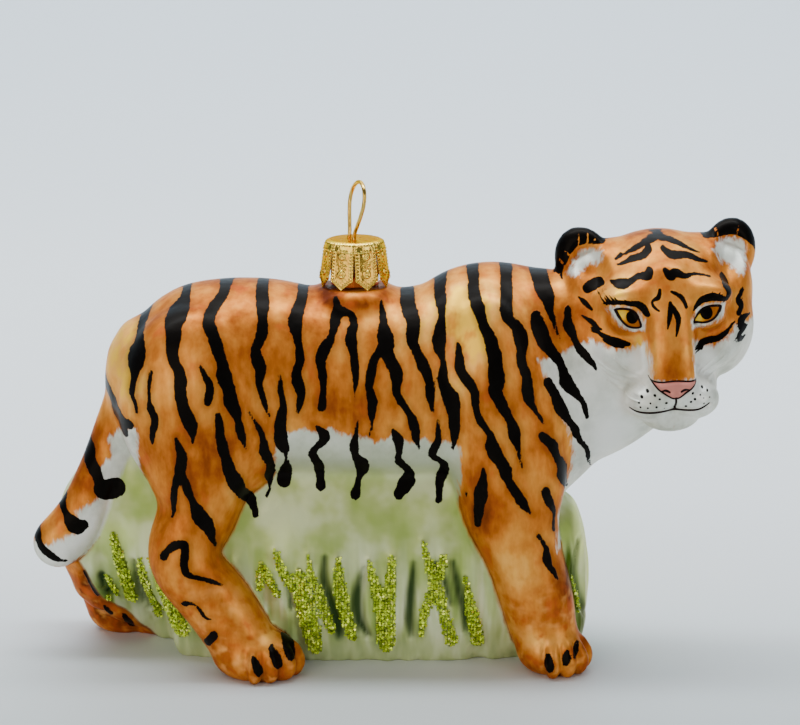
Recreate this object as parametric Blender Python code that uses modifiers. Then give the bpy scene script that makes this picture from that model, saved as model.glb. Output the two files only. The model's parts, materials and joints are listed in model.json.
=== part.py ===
"""A mould-blown glass tiger ornament, standing in grass, with a stamped crown cap and a wire hanger.

The glass is modelled whole, as it is blown, and then parted with thin cuts into the parts that a
person would name. Sizes are millimetres on an ornament about 140 mm long. +X is towards the tiger's
chest, +Z is up, and its head is turned to look towards -Y. The ornament is drawn about the middle of
the tiger's body, and set over the origin at the end.
"""

import math

import bmesh
import bpy
from mathutils import Euler, Matrix, Vector

MM = 0.001
GAP = 0.3  # between neighbouring pieces
REACH = 120.0  # longer than the ornament, for cutters that go right through
CENTRING = Vector((0.8, 1.6, 0.0))  # from the middle of the body to the middle of the whole

# The body, from the table up.
BELLY_Z = 33.8
BODY_HALF_WIDTH = 17.0
LEG_SIDE_Y = 12.0  # how far each leg stands out from the middle
LEG_INNER_Y = 4.9  # where each leg is parted from the grass behind it
ELBOW_Z, STIFLE_Z = 40.0, 46.0  # the tops of the forelegs and of the hind legs

# The head, about a point between and behind the eyes.
HEAD_AT = (50.6, -3.0, 66.0)
HEAD_YAW = math.radians(3.0)
HEAD_NOD = math.radians(5.0)
HEAD_TILT = math.radians(-3.0)
EYE_AT = (7.6, -12.4, 4.2)
EAR_AT = (13.9, 2.5, 12.5)
EAR_RADII = (5.6, 3.2, 6.8)
NOSE_AT = (0.0, -18.6, -8.3)

# The neck tube, the cap over it and the hanger.
CAP_X = -7.6
SEAT_Z = 72.8
CAP_TOP_Z = 82.0
CAP_TOP_R, CAP_SKIRT_R = 5.7, 6.9
CAP_WALL = 0.35
PETALS = 8
PETAL_TOP_Z = 76.6
TUBE_R, TUBE_BORE_R = 4.6, 3.7
WIRE_R = 0.4
WIRE_SPACING = 1.3  # each side of the middle, where the wire goes through the cap
LOOP_TOP_Z, LOOP_HALF_WIDTH = 92.7, 3.6
LOOP_X = -0.6  # where the wire goes through the cap, off its middle
LOOP_LEAN = 0.154  # how far the loop leans forward for each millimetre that it rises above the cap
LOOP_TURN = math.radians(68.0)

# A limb's rings are widest across this direction.
ACROSS_BODY = Vector((0, 1, 0))

# The tail: x, y, z, half width, half depth, from its root to its tip.
TAIL = [
    (-50.0, 0.0, 54.0, 4.5, 5.0),
    (-53.0, -0.5, 45.0, 4.8, 5.2),
    (-56.0, -1.0, 37.0, 4.8, 5.2),
    (-60.5, -1.5, 28.0, 4.8, 5.2),
    (-66.0, -1.5, 21.5, 4.8, 5.2),
]
TAIL_BACK_Y = 4.5  # where the tail is parted from the grass behind it
TAIL_REACH_Y = 6.8  # past its near side

# How finely the clay is blended, and how many triangles the glass keeps.
VOXEL = 0.8
GLASS_FACES = 2900

# Forelegs: side of the body, and x of the foot. Hind legs: side, x of the hock, and x and y of the foot.
FORELEGS = {"foreleg_right": (-1, 30.0), "foreleg_left": (1, 17.0)}
HINDLEGS = {"hindleg_right": (-1, -40.5, -26.5, 16.5), "hindleg_left": (1, -61.0, -53.5, 12.0)}


def clear_scene():
    for obj in list(bpy.data.objects):
        bpy.data.objects.remove(obj, do_unlink=True)


def collection(name, hidden=False):
    made = bpy.data.collections.new(name)
    bpy.context.scene.collection.children.link(made)
    made.hide_render = hidden
    return made


def material(name, colour, roughness, metallic=0.0):
    made = bpy.data.materials.new(name)
    made.use_nodes = True
    shader = made.node_tree.nodes["Principled BSDF"]
    shader.inputs["Base Color"].default_value = (*colour, 1.0)
    shader.inputs["Roughness"].default_value = roughness
    shader.inputs["Metallic"].default_value = metallic
    return made


def object_from(bm, name, into):
    """The bmesh, in millimetres, as an object in metres."""
    bmesh.ops.scale(bm, vec=(MM, MM, MM), verts=bm.verts)
    mesh = bpy.data.meshes.new(name)
    bm.to_mesh(mesh)
    bm.free()
    obj = bpy.data.objects.new(name, mesh)
    into.objects.link(obj)
    return obj


def baked(obj, into, name):
    """The object with its modifiers applied, in place of the object."""
    bpy.context.view_layer.update()
    graph = bpy.context.evaluated_depsgraph_get()
    mesh = bpy.data.meshes.new_from_object(obj.evaluated_get(graph))
    bpy.data.objects.remove(obj)
    made = bpy.data.objects.new(name, mesh)
    into.objects.link(made)
    return made


# ---- clay: the soft masses that the figure is blended from ----


def ball(bm, centre, radii, turn=(0.0, 0.0, 0.0), frame=None, rings=20):
    """An ellipsoid, turned by degrees about X, Y and Z, in the frame given."""
    place = (
        (frame or Matrix.Identity(4))
        @ Matrix.Translation(centre)
        @ Euler([math.radians(a) for a in turn]).to_matrix().to_4x4()
        @ Matrix.Diagonal((*radii, 1.0))
    )
    bmesh.ops.create_uvsphere(bm, u_segments=rings * 8 // 5, v_segments=rings, radius=1.0, matrix=place)


def smooth_stations(stations, steps):
    """Stations along a limb with more between them, on a Catmull-Rom curve."""

    def between(before, start, end, after, t):
        slope, bend = end - before, 2 * before - 5 * start + 4 * end - after
        swing = 3 * start - before - 3 * end + after
        return start + 0.5 * (slope * t + bend * t**2 + swing * t**3)

    padded = [stations[0], *stations, stations[-1]]
    found = []
    for span in zip(padded, padded[1:], padded[2:], padded[3:]):
        for step in range(steps):
            found.append([between(*values, step / steps) for values in zip(*span)])
    found.append(list(stations[-1]))
    return found


def limb(bm, stations, square=2.0, round_ends=1.0, frame=None, across=ACROSS_BODY, steps=4, segments=28):
    """A tube through stations (x, y, z, half width, half depth), with round ends.

    square is the power of the cross-section's superellipse: 2 is an ellipse, 4 is a rounded box.
    """
    path = smooth_stations(stations, steps)
    centres = [Vector(s[:3]) for s in path]
    rings = []
    for i, (_, _, _, wide, deep) in enumerate(path):
        along = (centres[min(i + 1, len(path) - 1)] - centres[max(i - 1, 0)]).normalized()
        side = (across - along * along.dot(across)).normalized()
        rings.append((centres[i], along, side, wide, deep))
    ends = []
    for (centre, along, side, wide, deep), sign in ((rings[0], -1), (rings[-1], 1)):
        bulge = sign * min(wide, deep) * round_ends
        ends.append(
            [
                (centre + along * bulge * math.sin(a), along, side, wide * math.cos(a), deep * math.cos(a))
                for a in (math.radians(80), math.radians(55), math.radians(28))
            ]
        )
    loops = []
    for centre, along, side, wide, deep in [*ends[0], *rings, *reversed(ends[1])]:
        loop = []
        for k in range(segments):
            c, s = math.cos(2 * math.pi * k / segments), math.sin(2 * math.pi * k / segments)
            a = math.copysign(abs(c) ** (2 / square), c) * wide
            b = math.copysign(abs(s) ** (2 / square), s) * deep
            at = centre + side * a + along.cross(side) * b
            loop.append(bm.verts.new((frame or Matrix.Identity(4)) @ at))
        loops.append(loop)
    for one, two in zip(loops, loops[1:]):
        for k in range(segments):
            bm.faces.new((one[k], one[k - 1], two[k - 1], two[k]))
    bm.faces.new(loops[0])
    bm.faces.new(list(reversed(loops[-1])))


def head_frame():
    turn = Euler((HEAD_NOD, HEAD_TILT, HEAD_YAW)).to_matrix().to_4x4()
    return Matrix.Translation(HEAD_AT) @ turn


def trunk_and_neck(bm):
    # x, y, z, half width, half height
    limb(
        bm,
        [
            (-46.5, 0, 54.0, 13.5, 13.5),
            (-42.0, 0, 54.5, 15.5, 16.8),
            (-36.0, 0, 54.8, BODY_HALF_WIDTH, 18.8),
            (-26.0, 0, 54.4, BODY_HALF_WIDTH, 19.6),
            (-16.0, 0, 53.2, BODY_HALF_WIDTH - 0.5, 19.0),
            (-4.0, 0, 52.8, BODY_HALF_WIDTH - 0.5, 19.0),
            (8.0, 0, 53.4, BODY_HALF_WIDTH - 0.5, 19.6),
            (18.0, 0, 55.4, BODY_HALF_WIDTH - 1.0, 21.8),
            (28.0, 0, 56.0, 14.5, 20.3),
            (36.0, -1, 57.4, 12.5, 19.0),
            (43.0, -2, 60.0, 12.0, 16.5),
            (48.0, -2, 63.0, 11.0, 13.5),
        ],
        round_ends=0.7,
    )
    # The throat, from the chest to the jaw.
    limb(bm, [(26.0, -1.0, 38.5, 9.5, 9.5), (32.6, -1.5, 46.0, 9.8, 9.8), (38.5, -2.0, 54.0, 9.0, 9.0)])
    for side in (-1, 1):
        ball(bm, (-36.0, side * 7.5, 51.0), (17.0, 12.0, 20.0), turn=(0, -8, 0))
        ball(bm, (18.5, side * 7.0, 54.5), (12.5, 11.5, 20.0), turn=(0, -6, 0))
    # The mound that the neck tube stands on.
    ball(bm, (CAP_X, 0.0, SEAT_Z - 2.5), (9.0, 9.0, 4.0))


def foreleg_stations(side, foot_x):
    knee_x = (foot_x + 22.5) / 2
    return [
        (20.0, side * 9.5, 50.0, 8.0, 12.0),
        (22.0, side * 10.5, 38.0, 8.0, 11.0),
        (22.6, side * 11.0, 30.5, 7.6, 9.4),
        (knee_x - 1.5, side * 11.3, 22.5, 7.0, 7.4),
        (knee_x + 1.0, side * 11.6, 14.5, 6.7, 7.0),
        (foot_x - 1.0, side * LEG_SIDE_Y, 7.0, 6.4, 6.4),
        (foot_x, side * (LEG_SIDE_Y + 0.5), 4.5, 6.0, 5.5),
    ]


def hindleg_stations(side, hock_x, foot_x, foot_y):
    return [
        (-36.5, side * 9.0, 50.0, 9.5, 14.5),
        (-37.0, side * 10.5, 39.0, 9.0, 11.0),
        ((hock_x - 37.0) / 2 + 1.0, side * 11.0, 31.0, 7.8, 7.8),
        (hock_x, side * (foot_y + 11.0) / 2, 22.5, 6.6, 6.6),
        ((hock_x + foot_x) / 2 - 0.5, side * (foot_y - 2.0), 13.5, 6.2, 6.6),
        (foot_x - 3.0, side * (foot_y - 1.0), 7.0, 6.2, 6.4),
    ]


def legs(bm):
    for side, foot_x in FORELEGS.values():
        limb(bm, foreleg_stations(side, foot_x))
        ball(bm, (foot_x + 0.2, side * (LEG_SIDE_Y + 1.0), 4.0), (7.0, 7.2, 5.2))
    for side, hock_x, foot_x, foot_y in HINDLEGS.values():
        limb(bm, hindleg_stations(side, hock_x, foot_x, foot_y))
        ball(bm, (foot_x, side * foot_y, 4.0), (8.8, 6.8, 5.4), turn=(0, 0, side * 10))


def toes(bm):
    """Four toes round the front and outer side of each paw."""
    paws = [(side, foot_x + 0.2, LEG_SIDE_Y + 1.0, 5.2, 5.2) for side, foot_x in FORELEGS.values()]
    paws += [(side, foot_x, foot_y, 6.6, 4.8) for side, _, foot_x, foot_y in HINDLEGS.values()]
    for side, x, y, reach_x, reach_y in paws:
        for turn in (0, 30, 60, 90):
            angle = math.radians(turn)
            at = (x + reach_x * math.cos(angle), side * (y + reach_y * math.sin(angle)), 2.9)
            ball(bm, at, (2.5, 2.5, 2.9))


def grass(bm):
    # x, y, z, half depth, half height: a bank of grass that fills the space under the belly.
    limb(
        bm,
        [
            (-56.0, 8.0, 7.0, 6.0, 9.0),
            (-50.0, 5.5, 18.0, 9.0, 20.0),
            (-42.0, 2.5, 21.5, 11.0, 24.0),
            (-30.0, 0.5, 20.0, 12.0, 23.0),
            (-15.0, 0, 19.5, 12.5, 22.5),
            (0.0, 0, 19.5, 12.5, 22.5),
            (15.0, 0, 18.5, 12.5, 21.5),
            (24.0, 0.5, 16.0, 11.5, 19.0),
            (30.0, 1.0, 15.0, 11.0, 17.0),
            (34.0, 1.0, 15.0, 10.5, 16.0),
        ],
        square=3.0,
        round_ends=0.4,
    )
    # Its foot, which spreads between the far hind paw and the near one.
    limb(
        bm,
        [
            (-50.0, 11.0, 3.0, 5.0, 5.0),
            (-42.0, 9.0, 4.0, 8.0, 6.0),
            (-34.0, 6.0, 5.0, 11.0, 8.0),
            (-26.0, 1.5, 6.0, 12.0, 9.0),
            (-15.0, 0.0, 6.0, 12.0, 9.0),
        ],
        round_ends=0.6,
    )


def head(bm):
    frame = head_frame()
    ball(bm, (0, 1.5, 3.7), (15.5, 15.0, 14.2), frame=frame)
    for side in (-1, 1):
        ball(bm, (side * 8.0, 2.0, 8.8), (9.0, 8.0, 8.0), frame=frame)
        ball(bm, (side * 13.4, 1.0, 6.0), (4.8, 7.0, 9.0), frame=frame)
        ball(bm, (side * 9.6, -1.0, -0.2), (8.4, 9.6, 10.6), frame=frame)
        ball(bm, (side * 7.0, -9.4, 8.6), (6.0, 4.6, 3.0), turn=(0, side * 8, 0), frame=frame)
        ball(bm, (side * 8.4, -8.4, -2.4), (6.0, 5.0, 4.2), turn=(0, side * -12, 0), frame=frame)
    ball(bm, (0, -7.5, -10.4), (9.8, 10.0, 6.6), frame=frame)
    limb(
        bm,
        [
            (0, -8.0, 11.0, 4.6, 4.0),
            (0, -11.8, 4.5, 4.6, 4.2),
            (0, -15.0, -2.0, 4.5, 4.0),
            (0, -17.0, -7.0, 4.4, 3.0),
        ],
        square=3.0,
        frame=frame,
        across=Vector((1, 0, 0)),
    )


def face(bm):
    frame = head_frame()
    for side in (-1, 1):
        x, y, z = EYE_AT
        ball(bm, (side * x, y + 1.2, z), (3.7, 2.6, 2.5), turn=(0, side * -10, side * 14), frame=frame)
        ball(bm, (side * 4.0, -14.2, -10.6), (5.0, 5.2, 3.8), turn=(0, 0, side * 18), frame=frame)
        x, y, z = EAR_AT
        ball(bm, (side * x, y, z), EAR_RADII, turn=(-8, side * 20, side * 14), frame=frame)
    x, y, z = NOSE_AT
    ball(bm, (x, y + 0.6, z), (4.2, 2.2, 2.2), frame=frame)
    ball(bm, (0, -11.8, -14.2), (5.8, 5.4, 3.2), frame=frame)


def ear_hollows(bm):
    frame = head_frame()
    for side in (-1, 1):
        x, y, z = EAR_AT
        at, turn = (side * (x - 0.4), y - 4.2, z + 0.4), (-8, side * 20, side * 10)
        ball(bm, at, (3.6, 2.8, 4.8), turn=turn, frame=frame, rings=10)


def blended(name, into, rounds, *masses):
    """The masses as one skin: a voxel remesh joins them, and smoothing softens the creases."""
    bm = bmesh.new()
    for add in masses:
        add(bm)
    rough = object_from(bm, name, into)
    remesh = rough.modifiers.new("Join", "REMESH")
    remesh.mode = "VOXEL"
    remesh.voxel_size = VOXEL * MM
    soften = rough.modifiers.new("Soften", "SMOOTH")
    soften.factor = 0.5
    soften.iterations = rounds
    return baked(rough, into, name)


def add_mesh(obj):
    """A mass that repeats an object's mesh, in millimetres, for blended()."""

    def add(bm):
        scaled = obj.data.copy()
        scaled.transform(Matrix.Scale(1 / MM, 4))
        bm.from_mesh(scaled)
        bpy.data.meshes.remove(scaled)

    return add


# ---- cuts: regions that part the figure ----


def prism(bm, outline, low_y, high_y, grow):
    """A block with an (x, z) outline, grown outward by grow."""
    points = [Vector(p) for p in outline]
    area = sum(a.x * b.y - b.x * a.y for a, b in zip(points, points[1:] + points[:1]))
    turn = 1 if area > 0 else -1
    moved = []
    for before, at, after in zip(points[-1:] + points[:-1], points, points[1:] + points[:1]):
        one, two = (at - before).normalized(), (after - at).normalized()
        out = Vector((one.y + two.y, -one.x - two.x)).normalized() * turn
        edge = Vector((one.y, -one.x)) * turn
        moved.append(at + out * grow / max(out.dot(edge), 0.3))
    near = [bm.verts.new((p.x, low_y - grow, p.y)) for p in moved]
    far = [bm.verts.new((p.x, high_y + grow, p.y)) for p in moved]
    bm.faces.new(near)
    bm.faces.new(list(reversed(far)))
    for k in range(len(moved)):
        bm.faces.new((near[k - 1], near[k], far[k], far[k - 1]))
    bmesh.ops.recalc_face_normals(bm, faces=bm.faces)


def leg_region(stations, top_z, foot, margin=1.2):
    """The side outline of a leg from its stations, and of its foot (back x, front x, instep z)."""
    back_x, front_x, instep_z = foot
    low = [s for s in stations if instep_z < s[2] < top_z - 1.0]
    high = [s for s in stations if s[2] >= top_z - 1.0][-1]
    back = [(high[0] - high[4] - margin, top_z), *[(s[0] - s[4] - margin, s[2]) for s in low]]
    front = [(high[0] + high[4] + margin, top_z), *[(s[0] + s[4] + margin, s[2]) for s in low]]
    heel = [(back_x, instep_z), (back_x, -REACH)]
    toe = [(front_x, -REACH), (front_x, instep_z / 2), (front_x - instep_z / 2, instep_z)]
    return [*back, *heel, *toe, *reversed(front)]


def ribbon(stations, margin=1.6):
    """The side outline of a slanting limb, from its stations' depths, with room for its round tip."""
    points = [Vector((s[0], s[2])) for s in stations]
    left, right = [], []
    for i, (at, station) in enumerate(zip(points, stations)):
        along = (points[min(i + 1, len(points) - 1)] - points[max(i - 1, 0)]).normalized()
        square = Vector((-along.y, along.x)) * (station[4] + margin)
        left.append(at + square)
        right.append(at - square)
    tip = along * (stations[-1][4] + margin)
    return [*left, left[-1] + tip, right[-1] + tip, *reversed(right)]


def side_of(side, reach=REACH):
    return (LEG_INNER_Y, reach) if side > 0 else (-reach, -LEG_INNER_Y)


def regions():
    """Name and cutter of each part of the glass, in the order of cutting."""
    frame = head_frame()
    made = {}

    def round_region(at, radii, turn=(0, 0, 0)):
        return lambda bm, grow: ball(bm, at, [r + grow for r in radii], turn=turn, frame=frame, rings=8)

    for word, side in (("right", -1), ("left", 1)):
        x, y, z = EAR_AT
        wide, deep, high = EAR_RADII
        around = (wide + 1.2, deep + 2.6, high + 0.6)
        made["ear_" + word] = round_region((side * (x + 0.6), y, z + 1.6), around, turn=(-8, side * 24, 0))
    for word, side in (("right", -1), ("left", 1)):
        x, y, z = EYE_AT
        made["eye_" + word] = round_region((side * x, y - 0.6, z), (3.0, 2.6, 1.9))
    made["nose"] = round_region(NOSE_AT, (4.5, 2.6, 2.2))
    nape = [(29.7, REACH), (REACH, REACH), (REACH, 30.0), (52.6, 30.0), (33.5, 80.0)]
    made["head"] = lambda bm, grow: prism(bm, nape, -REACH, REACH, grow)
    withers = [(23.0, REACH), (REACH, REACH), (REACH, 31.0), (37.2, 31.0), (25.0, 80.0)]
    made["neck"] = lambda bm, grow: prism(bm, withers, -REACH, REACH, grow)
    made["tail"] = lambda bm, grow: prism(bm, ribbon(TAIL[1:]), -TAIL_REACH_Y, TAIL_BACK_Y, grow)
    for name, (side, foot_x) in FORELEGS.items():
        outline = leg_region(foreleg_stations(side, foot_x), ELBOW_Z, (foot_x - 8.4, foot_x + 8.4, 8.0))
        made[name] = lambda bm, grow, outline=outline, side=side: prism(bm, outline, *side_of(side), grow)
    for name, (side, hock_x, foot_x, foot_y) in HINDLEGS.items():
        stations = hindleg_stations(side, hock_x, foot_x, foot_y)
        outline = leg_region(stations, STIFLE_Z, (foot_x - 10.2, foot_x + 9.8, 8.0))
        made[name] = lambda bm, grow, outline=outline, side=side: prism(bm, outline, *side_of(side), grow)
    bank = [
        (-REACH, -10.0),
        (REACH, -10.0),
        (REACH, 31.8),
        (34.0, 31.8),
        (24.0, BELLY_Z - 0.8),
        (-26.0, BELLY_Z),
        (-38.0, 36.0),
        (-46.0, 40.0),
        (-REACH, 40.0),
    ]
    made["grass"] = lambda bm, grow: prism(bm, bank, -REACH, REACH, grow)
    return made


def combine(obj, operation, cutter, into, name):
    step = obj.modifiers.new("Cut", "BOOLEAN")
    step.operation = operation
    step.solver = "EXACT"
    step.object = cutter
    return baked(obj, into, name)


def largest_body(obj):
    """Crumbs that a cut leaves are taken away, so that the piece is one closed body."""
    bm = bmesh.new()
    bm.from_mesh(obj.data)
    bmesh.ops.remove_doubles(bm, verts=bm.verts, dist=0.000002)
    bmesh.ops.dissolve_degenerate(bm, edges=bm.edges, dist=0.000002)
    left = set(bm.verts)
    bodies = []
    while left:
        start = left.pop()
        body, edge = {start}, [start]
        while edge:
            for link in edge.pop().link_edges:
                for vert in link.verts:
                    if vert in left:
                        left.discard(vert)
                        body.add(vert)
                        edge.append(vert)
        bodies.append(body)
    bodies.sort(key=len)
    crumbs = [vert for body in bodies[:-1] for vert in body]
    bmesh.ops.delete(bm, geom=crumbs, context="VERTS")
    bmesh.ops.triangulate(bm, faces=bm.faces)
    bm.to_mesh(obj.data)
    bm.free()
    return obj


def cut_with(obj, operation, build, helpers, into, name):
    bm = bmesh.new()
    build(bm)
    cutter = object_from(bm, name + "_cutter", helpers)
    made = largest_body(combine(obj, operation, cutter, into, name))
    bpy.data.objects.remove(cutter)
    return made


def copy_of(obj, into):
    made = obj.copy()
    made.data = obj.data.copy()
    into.objects.link(made)
    return made


def seat(bm):
    """Above the mound: taking it away leaves a flat seat for the neck tube and the cap."""
    at = Matrix.Translation((CAP_X, 0.0, SEAT_Z + 10.0))
    bmesh.ops.create_cone(bm, cap_ends=True, segments=32, radius1=7.6, radius2=7.6, depth=20.0, matrix=at)


def under_table(bm):
    at = Matrix.Translation((0.0, 0.0, -REACH / 2)) @ Matrix.Diagonal((2 * REACH, 2 * REACH, REACH, 1.0))
    bmesh.ops.create_cube(bm, size=1.0, matrix=at)


def figure(parts, helpers):
    clay = blended("clay", helpers, 14, trunk_and_neck, lambda bm: limb(bm, TAIL), grass, head, legs)
    whole = blended("figure", helpers, 6, add_mesh(clay), face, toes)
    bpy.data.objects.remove(clay)
    whole_faces = sum(len(face.vertices) - 2 for face in whole.data.polygons)
    fewer = whole.modifiers.new("Fewer", "DECIMATE")
    fewer.ratio = GLASS_FACES / whole_faces
    whole = baked(whole, helpers, "figure")
    whole = cut_with(whole, "DIFFERENCE", ear_hollows, helpers, helpers, "figure")
    whole = cut_with(whole, "DIFFERENCE", seat, helpers, helpers, "figure")
    whole = cut_with(whole, "DIFFERENCE", under_table, helpers, helpers, "figure")
    made = {}
    for name, region in regions().items():
        piece = copy_of(whole, parts)
        made[name] = cut_with(piece, "INTERSECT", lambda bm: region(bm, 0.0), helpers, parts, name)
        whole = cut_with(whole, "DIFFERENCE", lambda bm: region(bm, GAP), helpers, helpers, "figure")
    parts.objects.link(whole)
    helpers.objects.unlink(whole)
    whole.name = "trunk"
    made["trunk"] = whole
    return made


# ---- the tube, the cap and the wire ----


def glass_neck(parts):
    """The open tube that the glass was blown through."""
    bm = bmesh.new()
    low, high = SEAT_Z + GAP, CAP_TOP_Z - CAP_WALL - 0.5
    profile = [(TUBE_R, low), (TUBE_R, high), (TUBE_BORE_R, high), (TUBE_BORE_R, low)]
    rings = []
    for k in range(24):
        c, s = math.cos(2 * math.pi * k / 24), math.sin(2 * math.pi * k / 24)
        rings.append([bm.verts.new((CAP_X + r * c, r * s, z)) for r, z in profile])
    for one, two in zip(rings, rings[1:] + rings[:1]):
        for k in range(4):
            bm.faces.new((one[k - 1], two[k - 1], two[k], one[k]))
    bmesh.ops.recalc_face_normals(bm, faces=bm.faces)
    return object_from(bm, "glass_neck", parts)


def cap(parts, helpers):
    """A stamped crown: a domed top with two holes for the wire, and a skirt of pointed petals."""
    bm = bmesh.new()
    # radius, z, half width of a petal as a share of its pitch
    rings = [
        (3.6, CAP_TOP_Z, 1.0),
        (CAP_TOP_R - 0.5, CAP_TOP_Z - 0.4, 1.0),
        (CAP_TOP_R, CAP_TOP_Z - 1.0, 1.0),
        (CAP_TOP_R, CAP_TOP_Z - 1.8, 1.0),
        (CAP_TOP_R + 0.2, 78.4, 1.0),
        (CAP_TOP_R + 0.45, PETAL_TOP_Z, 1.0),
        (CAP_TOP_R + 0.7, 75.5, 0.88),
        (CAP_SKIRT_R - 0.25, 74.7, 0.78),
        (CAP_SKIRT_R, SEAT_Z + 0.45, 0.16),
    ]
    pitch = 2 * math.pi / PETALS
    solid_rings = sum(1 for ring in rings if ring[2] == 1.0)
    verts = {}
    for i, (radius, z, share) in enumerate(rings):
        for petal in range(PETALS):
            for column in range(5):
                if share == 1.0 and column == 4:
                    verts[i, petal, column] = (i, (petal + 1) % PETALS, 0)
                    continue
                angle = -math.pi / 2 + pitch * (petal + 0.5 + share * (column - 2) / 4)
                at = (CAP_X + radius * math.cos(angle), radius * math.sin(angle), z)
                verts[i, petal, column] = bm.verts.new(at)

    def vert(i, petal, column):
        found = verts[i, petal, column]
        return verts[found] if isinstance(found, tuple) else found

    for i in range(len(rings) - 1):
        for petal in range(PETALS):
            for column in range(4):
                corners = [(i, column), (i + 1, column), (i + 1, column + 1), (i, column + 1)]
                bm.faces.new([vert(a, petal, b) for a, b in corners])
    bm.faces.new([vert(0, petal, column) for petal in range(PETALS) for column in range(4)])
    bmesh.ops.remove_doubles(bm, verts=bm.verts, dist=0.01)
    bmesh.ops.recalc_face_normals(bm, faces=bm.faces)
    crown = object_from(bm, "cap", helpers)
    wall = crown.modifiers.new("Wall", "SOLIDIFY")
    wall.thickness = CAP_WALL * MM
    wall.offset = -1.0
    crown = baked(crown, helpers, "cap")
    return cut_with(crown, "DIFFERENCE", wire_holes, helpers, parts, "cap")


def wire_at(across, z):
    """A point in the plane of the wire loop."""
    x = CAP_X + LOOP_X + max(z - CAP_TOP_Z, 0.0) * LOOP_LEAN + across * math.cos(LOOP_TURN)
    return Vector((x, -across * math.sin(LOOP_TURN), z))


def wire_holes(bm):
    for side in (-1, 1):
        at = Matrix.Translation(wire_at(side * WIRE_SPACING, CAP_TOP_Z))
        hole = WIRE_R + GAP
        bmesh.ops.create_cone(bm, cap_ends=True, segments=8, radius1=hole, radius2=hole, depth=4.0, matrix=at)


def hanger(parts, helpers):
    """One wire: a loop above the cap, whose two legs go down through it and spring apart in the tube."""
    in_tube = [(2.7, 75.2), (2.4, 77.0), (1.6, 79.8), (WIRE_SPACING, 81.4)]
    rising = [(WIRE_SPACING, 82.8), (2.1, 84.6), (3.1, 86.8), (LOOP_HALF_WIDTH, 89.0)]
    over = [(3.1, LOOP_TOP_Z - 1.8), (1.8, LOOP_TOP_Z - 0.5), (0.0, LOOP_TOP_Z)]
    half = in_tube + rising + over
    path = [wire_at(-x, z) for x, z in half] + [wire_at(x, z) for x, z in reversed(half[:-1])]
    curve = bpy.data.curves.new("wire", "CURVE")
    curve.dimensions = "3D"
    curve.resolution_u = 2
    curve.bevel_depth = WIRE_R * MM
    curve.bevel_resolution = 1
    curve.use_fill_caps = True
    line = curve.splines.new("BEZIER")
    line.bezier_points.add(len(path) - 1)
    for point, at in zip(line.bezier_points, path):
        point.co = at * MM
        point.handle_left_type = point.handle_right_type = "AUTO"
    wire = bpy.data.objects.new("hanger", curve)
    helpers.objects.link(wire)
    wire = baked(wire, parts, "hanger")
    bm = bmesh.new()
    bm.from_mesh(wire.data)
    bmesh.ops.remove_doubles(bm, verts=bm.verts, dist=0.00001)
    bm.to_mesh(wire.data)
    bm.free()
    return wire


def main():
    clear_scene()
    parts = collection("tiger_ornament")
    helpers = collection("helpers", hidden=True)
    orange = material("orange_lacquer", (0.75, 0.25, 0.05), 0.25)
    green = material("green_lacquer", (0.45, 0.55, 0.25), 0.35)
    eye = material("eye_enamel", (0.6, 0.35, 0.03), 0.1)
    pink = material("nose_enamel", (0.75, 0.25, 0.25), 0.2)
    silver = material("silvered_glass", (0.75, 0.76, 0.78), 0.1)
    gold = material("gold_stamping", (0.75, 0.5, 0.12), 0.25, metallic=1.0)
    brass = material("gold_wire", (0.7, 0.55, 0.15), 0.2, metallic=1.0)
    finishes = {"grass": green, "eye_right": eye, "eye_left": eye, "nose": pink}
    for name, obj in figure(parts, helpers).items():
        obj.data.materials.clear()
        obj.data.materials.append(finishes.get(name, orange))
    glass_neck(parts).data.materials.append(silver)
    cap(parts, helpers).data.materials.append(gold)
    hanger(parts, helpers).data.materials.append(brass)
    for obj in parts.objects:
        obj.data.transform(Matrix.Translation(CENTRING * MM))


main()
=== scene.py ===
import json
import math
import random

import bmesh
import bpy
import numpy as np
from mathutils import Euler, Matrix, Vector, noise
from mathutils.bvhtree import BVHTree

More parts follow.
